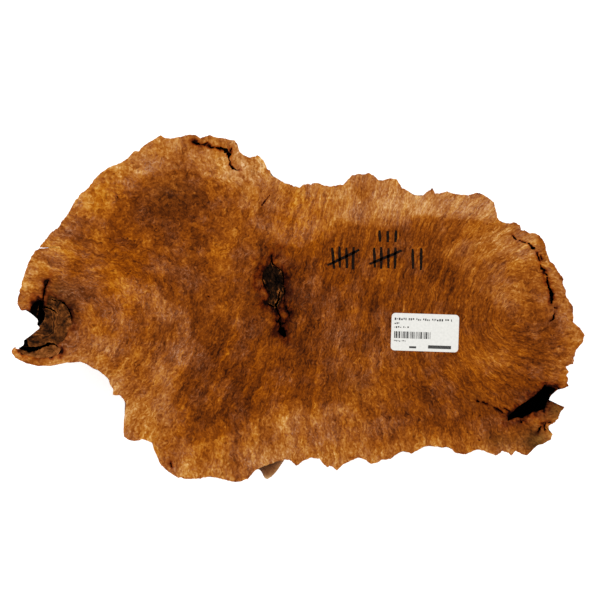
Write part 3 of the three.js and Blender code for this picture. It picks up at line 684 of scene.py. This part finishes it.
def patches(points, places):
    """The sum of Gauss hills, each stretched to its half length and half width and turned."""
    total = np.zeros(len(points))
    for x, y, half_length, half_width, degrees, amount in places:
        c, s = math.cos(math.radians(degrees)), math.sin(math.radians(degrees))
        across = (points - (x, y)) @ np.array([(c, -s), (s, c)])
        total += amount * np.exp(-((across / (half_length, half_width)) ** 2).sum(axis=1))
    return total


# The line of a dark place, whether it is closed, how far its stain has spread in mm, and its strength
STAINED = [(path, False, spread, 1) for path, _, _, spread in CRACKS]
STAINED += [(DARK_GAP, True, 6, 1), (DARK_LEDGE, True, 4, 1), (BARK, True, 8, 0.78),
            (BARK_TAIL, True, 4, 0.9), (BLACK_POCKET, True, 4, 0.9), (LIP_DISH, True, 3, 0.8),
            (STUB_END, True, 4, 0.6),
            (LEFT_BITE[1:-1], False, 1.5, 1), (RIGHT_BITE[1:-1], False, 1.2, 1)]
FINE_NEAR, FINE_EDGE, FINE_ROUNDS = 11, 1.35, 3  # edges this near to a dark place, in mm, become this short
ON_FACE = 0.01  # a vertex this near to the plane of the saw cut, in mm, lies on it
SHARP_ANGLE = math.radians(48)
SAWN_FACE, NATURAL_FACE, DEAD_FACE = range(3)  # the places of the three materials


def stain_at(points):
    """The strongest of the stains, each at its strength on the line of a dark place and at 0.37 of it at its
    spread."""
    strongest = np.zeros(len(points))
    for line, closed, spread, strength in STAINED:
        if spread:
            strongest = np.maximum(strongest, strength * np.exp(-from_line(points, line, closed) / spread))
    return strongest


def read(items, key, width=1, number=float):
    """One value, or a row of as many as width, of each of a mesh's items."""
    values = np.zeros(len(items) * width, number)
    items.foreach_get(key, values)
    return values if width == 1 else values.reshape(-1, width)


def refine(mesh):
    """Halves the edges of the sawn face near the dark places until they are short, for the stain to fade
    on: the nearer, the shorter, by a third of the distance."""
    for _ in range(FINE_ROUNDS):
        spots = read(mesh.vertices, "co", 3) / MM
        start, end = spots[read(mesh.edges, "vertices", 2, int).T]
        on_face = np.flatnonzero(np.minimum(start[:, 2], end[:, 2]) > THICKNESS - ON_FACE)
        middle = ((start + end) / 2)[on_face, :2]
        near = np.min([from_line(middle, line, closed) for line, closed, _, _ in STAINED], axis=0)
        length = np.linalg.norm((end - start)[on_face], axis=1)
        chosen = on_face[(near < FINE_NEAR + length / 4) & (length > np.maximum(FINE_EDGE, near / 3))]
        builder = bmesh.new()
        builder.from_mesh(mesh)
        builder.edges.ensure_lookup_table()
        bmesh.ops.subdivide_edges(builder, edges=[builder.edges[n] for n in chosen], cuts=1)
        bmesh.ops.triangulate(builder, faces=[face for face in builder.faces if len(face.verts) > 3])
        builder.to_mesh(mesh)
        builder.free()


mesh = wood.data
refine(mesh)
place = read(mesh.vertices, "co", 3) / MM
flat = place[:, :2]
normals = read(mesh.vertices, "normal", 3)
a, b = read(mesh.edges, "vertices", 2, int).T
degree = np.maximum(np.bincount(a, minlength=len(place)) + np.bincount(b, minlength=len(place)), 1)


def neighbours_mean(values):
    """The mean of each vertex's neighbours along the mesh's edges."""
    total = np.bincount(a, values[b], len(place)) + np.bincount(b, values[a], len(place))
    return total / degree


# How far each vertex lies under the mean of its neighbours, spread out twice: it darkens the dips of the
# natural side as painted shade
around = np.stack([neighbours_mean(column) for column in place.T], axis=1)
painted_dip_shade = neighbours_mean(neighbours_mean(((around - place) * normals).sum(axis=1)))

VALUES = {
    "flow": sampled(figure_grid(), flat),
    "heart": from_line(flat, HEART, True) * np.where(inside(flat, HEART), 1, -1),
    "rim": from_line(flat, evenly_spaced(SAWN_EDGE, 400), True),
    "tone": patches(flat, TONES),
    "glow": patches(flat, GLOWS),
    "scuff": patches(flat, SCUFFS_AND_SHEEN),
    "curl": CURL_EVERYWHERE + patches(flat, CURLS),
    "olive": patches(flat, OLIVES),
    "stain": stain_at(flat),
    "painted_dip_shade": painted_dip_shade,
}
for key, value in VALUES.items():
    mesh.attributes.new(key, "FLOAT", "POINT").data.foreach_set("value", value)

corners = read(mesh.loops, "vertex_index", number=int)
lowest = np.minimum.reduceat(place[corners, 2], read(mesh.polygons, "loop_start", number=int))
kind = read(mesh.polygons, "material_index", number=int)
live = kind != DEAD_FACE
kind[live] = np.where(lowest[live] > THICKNESS - 2 * ON_FACE, SAWN_FACE, NATURAL_FACE)
mesh.polygons.foreach_set("material_index", kind)
mesh.shade_smooth()
mesh.set_sharp_from_angle(angle=SHARP_ANGLE)


def linear(hex_colour):
    """An sRGB hex value as linear red, green and blue with an alpha of 1."""
    parts = [int(hex_colour[n : n + 2], 16) / 255 for n in (0, 2, 4)]
    return [part / 12.92 if part <= 0.04045 else ((part + 0.055) / 1.055) ** 2.4 for part in parts] + [1.0]


def add(material, kind, inputs=(), colours=(), **settings):
    """A node with its settings. inputs gives a value, a node or a socket for each input by name or number,
    and colours gives a ramp's places and hex values."""
    material.use_nodes = True
    node = material.node_tree.nodes.new(kind)
    for name, value in settings.items():
        setattr(node, name, value)
    for n, (position, value) in enumerate(colours):
        stop = node.color_ramp.elements[n] if n < 2 else node.color_ramp.elements.new(position)
        stop.position, stop.color = position, linear(value)
    for name, value in dict(inputs).items():
        if isinstance(value, bpy.types.Node):
            value = value.outputs[0]
        if isinstance(value, bpy.types.NodeSocket):
            material.node_tree.links.new(value, node.inputs[name])
        else:
            node.inputs[name].default_value = value
    return node


def attribute(material, name):
    """A value that each vertex has under a name."""
    return add(material, "ShaderNodeAttribute", attribute_name=name).outputs["Fac"]


def place_in(material):
    """The place on the object, in metres."""
    return add(material, "ShaderNodeTexCoord").outputs["Object"]


def calculate(material, operation, *values, clamp=False):
    """One sum, difference, product or the like of values."""
    return add(material, "ShaderNodeMath", dict(enumerate(values)), operation=operation, use_clamp=clamp)


def cloud(material, vector, scale, detail, roughness):
    """Noise with as many lumps to a metre as scale says."""
    return add(material, "ShaderNodeTexNoise",
               {"Vector": vector, "Scale": scale, "Detail": detail, "Roughness": roughness})


def between(material, value, start, end, at_start, at_end, **settings):
    """at_start where the value is start and at_end where it is end, in a straight line between them and held
    outside."""
    return add(material, "ShaderNodeMapRange", {
        "Value": value, "From Min": start, "From Max": end, "To Min": at_start, "To Max": at_end}, **settings)


def ramp(material, source, *colours):
    """A colour by the source's value, with the two ends given first and what lies between them after."""
    return add(material, "ShaderNodeValToRGB", {"Fac": source}, colours)


def blend(material, amount, below, above, mode="MIX"):
    """The colour above laid over the colour below by an amount from 0 to 1."""
    return add(material, "ShaderNodeMix", {0: amount, 6: below, 7: above},
               data_type="RGBA", blend_type=mode).outputs[2]


def finish(material, colour, bump, roughness, strength, distance, gloss=0.03):
    """Joins a colour and a bump to the material's own shader, with a uniform roughness and gloss."""
    shader = material.node_tree.nodes["Principled BSDF"]
    colour = colour.outputs[0] if isinstance(colour, bpy.types.Node) else colour
    relief = add(material, "ShaderNodeBump", {"Height": bump, "Strength": strength, "Distance": distance})
    material.node_tree.links.new(colour, shader.inputs["Base Color"])
    material.node_tree.links.new(relief.outputs[0], shader.inputs["Normal"])
    shader.inputs["Roughness"].default_value = roughness
    shader.inputs["Specular IOR Level"].default_value = gloss


def sawn_wood(material):
    """Dry bandsawn eucalypt burl: amber to red-brown, matt, every tone drawn out along the grain. The grain
    is 1.5 mm wide and 8 mm long, its fibres 0.9 mm wide, the bands 4 mm wide, and the blotches 20 mm."""
    value, math_node, mapped, tinted, laid = (
        functools.partial(function, material) for function in (attribute, calculate, between, ramp, blend))

    def weighed(start, *terms):
        """The start plus each term's source, less its middle, times its weight."""
        total = start
        for source, middle, weight in terms:
            total = math_node("MULTIPLY_ADD", math_node("SUBTRACT", source, middle), weight, total)
        return total

    def noise(length, width=None, detail=2.0, roughness=0.5, shift=0.0):
        """Noise as long in mm as length and, where a width is given, as wide as that across the grain."""
        moved = add(material, "ShaderNodeVectorMath",
                    {0: here, 1: (1000 / length,) * 3, 2: (shift, shift, 0)}, operation="MULTIPLY_ADD")
        node = cloud(material, moved, 1.0, detail, roughness)
        if width is not None:
            node.noise_dimensions = "4D"
            material.node_tree.links.new(math_node("MULTIPLY", flow, 1 / width).outputs[0], node.inputs["W"])
        return node

    # what lies across the grain, in mm, with the grain's small curls
    here = place_in(material)
    swing = math_node("MULTIPLY", value("curl"), 4.6)
    flow = weighed(value("flow"), (noise(8, detail=3.0), 0.5, swing))
    flow = math_node("MULTIPLY_ADD", noise(3.2, detail=1.0), 2.2, flow)

    streak = noise(8, 1.5, 2.0, 0.6)
    fibre = noise(4.2, 0.85, 2.0, 0.6, 7.0)
    band = noise(34, 4.2, 2.0, 0.55, 3.0)
    blotch = noise(20, None, 3.0, 0.55, 11.0)
    speck = noise(2.0, None, 1.0, 0.5, 5.0)

    # darker in the heart, whose border wanders, and lighter in a band along the edge
    border = weighed(value("heart"), (blotch, 0.5, 38))
    heart = mapped(border, -4, 5, 0, 1, interpolation_type="SMOOTHSTEP")
    inner = weighed(value("rim"), (blotch, 0.5, 20))
    rim = mapped(inner, 0, 22, 1, 0, interpolation_type="SMOOTHSTEP")
    light = math_node("MULTIPLY_ADD", heart, -0.2, value("tone"))
    light = math_node("MULTIPLY_ADD", rim, 0.09, light)
    # a red to black stain has soaked in round the dead wood and the cracks
    soak = noise(7, None, 2.0, 0.6, 41.0)
    spread = weighed(value("stain"), (soak, 0.5, 2.6), (streak, 0.5, 1.4), (speck, 0.5, 0.6))
    reach = math_node("MULTIPLY", value("stain"), 3.0, clamp=True)
    spread = math_node("MULTIPLY", spread, reach, clamp=True)
    tone = weighed(math_node("ADD", light, 0.56), (streak, 0.5, 0.7), (fibre, 0.5, 0.85), (band, 0.5, 0.55),
                   (blotch, 0.5, 0.5), (speck, 0.5, 0.4), (spread, 0.0, -0.3))
    brown = tinted(tone, (0.0, "2e0f03"), (1.0, "e0b384"), (0.2, "592705"), (0.4, "7b3b0b"), (0.55, "965015"),
                   (0.7, "ac6828"), (0.85, "c58c4f"))
    amber = tinted(tone, (0.0, "3a1401"), (1.0, "e8ba70"), (0.2, "6a2d02"), (0.4, "8b4303"), (0.55, "a85908"),
                   (0.7, "be7519"), (0.85, "d2943d"))
    orange = weighed(math_node("MULTIPLY", value("glow"), 0.9), (band, 0.42, 2.2))
    orange = math_node("MULTIPLY_ADD", heart, 0.15, orange, clamp=True)
    colour = laid(orange, brown, amber)

    # torn fibres show as thin whitish lines of painted highlight, most where the face is scuffed
    torn = noise(9, 1.3, 1.0, 0.5, 17.0)
    ridge = mapped(math_node("ABSOLUTE", math_node("SUBTRACT", torn, 0.5)), 0.0, 0.026, 1, 0)
    patch = weighed(value("scuff"), (noise(17, None, 2.0, 0.5, 23.0), 0.47, 3.0), (heart, 0.5, -0.45))
    painted_glint = math_node("MULTIPLY", math_node("MULTIPLY", ridge, patch, clamp=True), 0.55)
    scuff_sheen_haze = tinted(patch, (0.0, "000000"), (1.0, "ffffff"))
    scuff_sheen_pink = tinted(tone, (0.2, "6e3d22"), (0.8, "c69773"))
    glint_colour = tinted(tone, (0.2, "945f3e"), (0.8, "dcb292"))
    colour = laid(painted_glint, colour, glint_colour)
    # scuffing with painted sheen: a pinkish haze over the scuffed patches
    colour = laid(math_node("MULTIPLY", scuff_sheen_haze, 0.15), colour, scuff_sheen_pink)

    # sun and water have turned some of it olive
    weather = weighed(value("olive"), (streak, 0.5, 0.8))
    weather = math_node("MULTIPLY", weather, value("olive"), clamp=True)
    olive = tinted(tone, (0.1, "3e250c"), (0.9, "b08345"), (0.5, "784c1c"))
    colour = laid(weather, colour, olive)

    # and short dark lines lie along the grain
    seam = noise(8, 1.1, 1.0, 0.5, 31.0)
    groove = mapped(seam, 0.28, 0.38, 1, 0)
    dark = tinted(tone, (0.2, "3a1604"), (0.9, "8e4a16"))
    colour = laid(math_node("MULTIPLY", groove, 0.55), colour, dark)

    tint = tinted(spread, (0.15, "ffffff"), (1.0, "483630"), (0.45, "f4dcd0"), (0.7, "d8b4a4"),
                  (0.88, "987468"))
    colour = laid(1.0, colour, tint, mode="MULTIPLY")
    height = weighed(streak, (fibre, 0.5, 0.8), (ridge, 0.0, 0.15))
    finish(material, colour, height, 0.7, 0.3, 0.0004)


def weathered_wood(material):
    """The natural side where the bark has come off: tan to silvery wood in knobs and pips, darkened in the
    dips by painted shade, mottled in lumps of 14 mm, with fibres about 1.5 mm wide and 6 mm long that run
    down it."""
    here = place_in(material)
    drawn = add(material, "ShaderNodeMapping", {"Vector": here, "Scale": (700, 700, 160)})
    fibre = cloud(material, drawn, 1.0, 3.0, 0.6)
    mottle = cloud(material, here, 70.0, 6.0, 0.68)
    patch = cloud(material, here, 14.0, 3.0, 0.5)
    # painted shade: the further a vertex lies under its neighbours, the darker
    tone = between(material, attribute(material, "painted_dip_shade"), -0.35, 0.35, 0.95, 0.05)
    tone = calculate(material, "MULTIPLY_ADD", fibre, 0.35, tone)
    tone = calculate(material, "MULTIPLY_ADD", mottle, 0.85, tone)
    tone = calculate(material, "SUBTRACT", tone, 0.6)
    warm = ramp(material, tone, (0.0, "1c0d06"), (1.0, "c79a68"), (0.3, "4f2c16"), (0.55, "824f2a"),
                (0.8, "a67444"))
    grey = ramp(material, tone, (0.0, "19120e"), (1.0, "b39d84"), (0.3, "453528"), (0.55, "735a44"),
                (0.8, "957b62"))
    share = between(material, patch, 0.4, 0.62, 0.1, 0.85)
    height = calculate(material, "ADD", fibre, mottle)
    finish(material, blend(material, share, warm, grey), height, 0.75, 0.8, 0.0014)


def dead_wood(material):
    """Dead branch wood, ingrown bark and rot: brown with thin dark rings round the branch where it is only
    weathered, black where it is charred, blackened in cracks and gaps and darkened the lower it lies by
    painted shade, in coarse crumbs of about 3 mm."""
    here = place_in(material)
    height = add(material, "ShaderNodeSeparateXYZ", {0: here}).outputs["Z"]
    # painted shade: darker the lower the surface lies under the saw cut, black 14 mm down
    painted_depth_shade = between(material, height, (THICKNESS - 14) * MM, (THICKNESS - 1) * MM, 1, 0)
    crumb = cloud(material, here, 330.0, 4.0, 0.65)
    patch = cloud(material, here, 120.0, 2.0, 0.5)
    away = add(material, "ShaderNodeVectorMath", {0: here, 1: (BRANCH_X * MM, BRANCH_Y * MM, BRANCH_Z * MM)},
               operation="DISTANCE").outputs["Value"]
    lane = calculate(material, "MULTIPLY_ADD", patch, 0.012, away)
    ring = add(material, "ShaderNodeTexNoise",
               {"W": calculate(material, "MULTIPLY", lane, 700), "Scale": 1.0, "Detail": 2.0},
               noise_dimensions="1D")
    dark = calculate(material, "MULTIPLY_ADD", painted_depth_shade, 0.5, attribute(material, "char"))
    for source, weight in ((crumb, -1.0), (patch, -0.9), (ring, -0.55)):
        dark = calculate(material, "MULTIPLY_ADD", source, weight, dark)
    dark = calculate(material, "ADD", dark, 1.5)
    colour = ramp(material, dark, (0.0, "ab6936"), (1.0, "020101"), (0.25, "80491e"), (0.45, "542c10"),
                  (0.7, "1f1108"))
    finish(material, colour, crumb, 0.85, 0.6, 0.0008, gloss=0.02)


sawn_wood(SAWN)
weathered_wood(NATURAL)
dead_wood(DEAD)
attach(wood, "root")
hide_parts("burl")

# Felt pen strokes
# A tally in black felt pen on the sawn face: plain strokes, each pulled once with a worn round tip. The ink
# has soaked into the dry wood, so a stroke stands out by next to nothing.

INK_RISE, INK_RIM = 0.06, 0.94
PEN_WIDTHS, PEN_RAGGED, PEN_SEED = [1.9, 2.7, 2.5, 2.0], 0.12, 60
TALLY = [
    [(29, 51), (30.5, 33)], [(35, 52), (35.5, 34)], [(41, 51), (41.5, 33.5)], [(47, 51.5), (46.5, 32.5)],
    [(25, 36), (52, 49)],
    [(64.5, 51), (65, 34)], [(70.5, 51.5), (70.5, 33)], [(76.5, 50.5), (76.5, 33.5)], [(82.5, 51), (82, 33)],
    [(60.5, 37), (88, 48.5)],
    [(97, 50), (97.5, 33)], [(104.5, 50.5), (104, 32)],
    [(69, 65.5), (69.5, 56)], [(76, 65), (76, 55.5)], [(83, 65.5), (82.5, 55.5)],
]
INK = bpy.data.materials.new("felt_pen_ink")


def ink(material):
    """Solvent ink in dry wood: black, matt, a little brown where the pen ran dry."""
    dry = cloud(material, place_in(material), 900.0, 2.0, 0.6)
    colour = ramp(material, dry, (0.35, "0a0807"), (0.8, "2b1a10"))
    finish(material, colour, dry, 0.6, 0.2, 0.0002)


ink(INK)
ink_levels = [(THICKNESS + INK_RISE, INK_RIM), (THICKNESS - INK_RISE, 1)]
inked = [carried(path, PEN_WIDTHS, ink_levels, PEN_RAGGED, PEN_SEED + n) for n, path in enumerate(TALLY)]
strokes = new_object("tally_strokes", *joined(inked), INK)
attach(strokes, "root")

# The label
# A sticky paper label, 57 x 32 mm, cut with round corners and glued flat on the sawn face. Its print is
# generic: random bars, and small blocks for lines of text, in thermal black.

LABEL_LENGTH, LABEL_WIDTH, LABEL_CORNER = 57.15, 31.75, 3.2
LABEL_X, LABEL_Y, LABEL_TURN = 107.5, -21, math.radians(-1.9)
PAPER_RISE, PRINT_RISE = 0.15, 0.02
PAPER_LAYERS = [(1, 0.996), (0.6, 1), (0, 1)]  # shares of the paper's thickness and of its outline there
BARS = (-26, 5, -5.4, 0.4)  # left, right, bottom, top
THIN_BAR, MOST_BARS, BARS_SEED = 0.42, 80, 5
LINES = [(-26, 24, 9.9, 2), (-26, -21, 6.4, 1.6), (-26, -13, 3, 1.7), (-26, -15, -8.4, 1.4)]
LINES_SEED = 7  # the lines are left, right, bottom, height
BLOCKS = [(-13, -13.6, -7, -11.9), (3, -13.4, 22.5, -10.6)]  # left, bottom, right, top
# Shares of a line's height: a letter's narrowest and widest, the gap after it and the gap after a word
LETTER_NARROW, LETTER_WIDE, LETTER_GAP, WORD_GAP = 0.3, 0.75, 0.32, 0.6
PAPER, PRINT = (bpy.data.materials.new(name) for name in ("coated_label_paper", "thermal_print"))


def on_label(points):
    """Points of the label's own flat, turned and moved to where it is stuck."""
    c, s = math.cos(LABEL_TURN), math.sin(LABEL_TURN)
    return np.asarray(points) @ np.array([(c, s), (-s, c)]) + (LABEL_X, LABEL_Y)


def rounded_rectangle(length, width, corner, steps=9):
    """Four quarter circles round the corners of a smaller rectangle."""
    turns = np.linspace(0, math.pi / 2, steps) + np.arange(4)[:, None] * math.pi / 2
    middles = np.array([(1, 1), (-1, 1), (-1, -1), (1, -1)]) * (length / 2 - corner, width / 2 - corner)
    arcs = middles[:, None] + corner * np.stack([np.cos(turns), np.sin(turns)], axis=-1)
    return arcs.reshape(-1, 2)


def plates(boxes, low, high):
    """Thin closed boxes, one for each left, bottom, right and top."""
    left, bottom, right, top = np.array(boxes, float).T
    ring = np.stack([left, bottom, right, bottom, right, top, left, top], axis=1)
    ring = on_label(ring.reshape(-1, 2)).reshape(-1, 4, 2)
    upper, lower = (np.concatenate([ring, np.full(ring.shape[:2] + (1,), z)], axis=2) for z in (high, low))
    corners = np.concatenate([upper, lower], axis=1).reshape(-1, 3)
    ends = np.array([(0, 1, 2), (0, 2, 3), (4, 6, 5), (4, 7, 6)])
    box = np.vstack([ends, strip(np.arange(4), np.arange(4, 8))])
    return corners, (box + 8 * np.arange(len(ring))[:, None, None]).reshape(-1, 3)


def bars(left, right, bottom, top):
    """Upright bars of one to three thin bars' width with gaps of one or two, from left to right."""
    chance = np.random.default_rng(BARS_SEED)
    steps = chance.choice([1, 1, 2, 3], MOST_BARS) * THIN_BAR
    gaps = chance.choice([1, 1, 2], MOST_BARS) * THIN_BAR
    starts = left + np.concatenate([[0], np.cumsum(steps + gaps)[:-1]])
    kept = starts + steps < right
    return [(start, bottom, start + step, top) for start, step in zip(starts[kept], steps[kept])]


def dashes(left, right, bottom, height, seed):
    """A line of small blocks as wide as letters, in groups as long as words."""
    chance = np.random.default_rng(seed)
    blocks = []
    while left < right:
        for _ in range(chance.integers(2, 7)):
            width = chance.uniform(LETTER_NARROW, LETTER_WIDE) * height
            low_end, high_end = chance.choice([0, 0, 0.3]), chance.choice([0.7, 1, 1])
            blocks.append((left, bottom + height * low_end, left + width, bottom + height * high_end))
            left += width + LETTER_GAP * height
        left += WORD_GAP * height
    return [block for block in blocks if block[2] < right]


def label_paper(material):
    """Coated label paper: off-white, smooth, with faint fibres in clouds of 2 mm."""
    fibres = cloud(material, place_in(material), 500.0, 4.0, 0.6)
    colour = ramp(material, fibres, (0.3, "dfded8"), (0.7, "eceae4"))
    finish(material, colour, fibres, 0.5, 0.1, 0.0001)


def label_print(material):
    """Thermal print: soft black that greys where the head skipped, in specks of 0.6 mm."""
    skip = cloud(material, place_in(material), 1600.0, 1.0, 0.5)
    colour = ramp(material, skip, (0.3, "1c1c1c"), (0.8, "6a6967"))
    finish(material, colour, skip, 0.6, 0.05, 0.0001)


label_paper(PAPER)
label_print(PRINT)
outline = rounded_rectangle(LABEL_LENGTH, LABEL_WIDTH, LABEL_CORNER)
rows = [np.column_stack([on_label(outline * share), np.full(len(outline), THICKNESS + PAPER_RISE * rise)])
        for rise, share in PAPER_LAYERS]
label = new_object("paper_label", *closed_rows(rows, ladder=False), PAPER)
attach(label, "root")
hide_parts("price_label")

blocks = bars(*BARS)
for n, line in enumerate(LINES):
    blocks += dashes(*line, LINES_SEED + n)
low, high = THICKNESS + PAPER_RISE, THICKNESS + PAPER_RISE + PRINT_RISE
marks = new_object("label_marks", *plates(blocks + BLOCKS, low, high), PRINT)
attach(marks, "root")

# The room
# A light table of frosted glass, which keeps the ground white, under soft studio light, seen from above.

VIEW_WIDTH = 0.508  # the width of the picture, in metres
VIEW_X, VIEW_Y, CAMERA_HEIGHT = 0.0017, 0.0066, 1.5
TABLE_HALF = 6000  # half the table's width, in mm
TABLE_GLOW, WORLD_GLOW = 0.6, 0.8
WHITE = (1, 1, 1, 1)

TABLE = bpy.data.materials.new("light_table")
frost = add(TABLE, "ShaderNodeTexNoise", {"Vector": place_in(TABLE), "Scale": 3.0})
finish(TABLE, ramp(TABLE, frost, (0.4, "f7f7f7"), (0.6, "f9f9f9")), frost, 0.8, 0.0, 0.001)
glowing = TABLE.node_tree.nodes["Principled BSDF"]
glowing.inputs["Emission Color"].default_value = WHITE
glowing.inputs["Emission Strength"].default_value = TABLE_GLOW
table_corners = np.array([(-1, -1, 0), (1, -1, 0), (1, 1, 0), (-1, 1, 0)]) * TABLE_HALF
table = new_object("table", table_corners, [(0, 1, 2), (0, 2, 3)], TABLE)
table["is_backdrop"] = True

world = bpy.data.worlds.new("studio")
bpy.context.scene.world = world
world.use_nodes = True
world.node_tree.nodes["Background"].inputs["Color"].default_value = WHITE
world.node_tree.nodes["Background"].inputs["Strength"].default_value = WORLD_GLOW


def soft_light(name, spot, size, watts):
    """A square area light at a spot in metres, aimed at the middle of the burl."""
    data = bpy.data.lights.new(name, "AREA")
    data.size, data.energy = size, watts
    lamp = bpy.data.objects.new(name, data)
    lamp.location = spot
    lamp.rotation_euler = (-lamp.location).to_track_quat("-Z", "Y").to_euler()
    bpy.context.scene.collection.objects.link(lamp)


soft_light("key", (-0.9, 0.9, 1.6), 0.9, 10)
soft_light("fill", (1.2, -0.6, 1.5), 1.4, 6)

camera_data = bpy.data.cameras.new("above")
camera_data.type = "ORTHO"
camera_data.ortho_scale = VIEW_WIDTH
camera = bpy.data.objects.new("above", camera_data)
camera.location = (VIEW_X, VIEW_Y, CAMERA_HEIGHT)
bpy.context.scene.collection.objects.link(camera)
bpy.context.scene.camera = camera
bpy.context.scene.view_settings.view_transform = "Standard"

low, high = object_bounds()
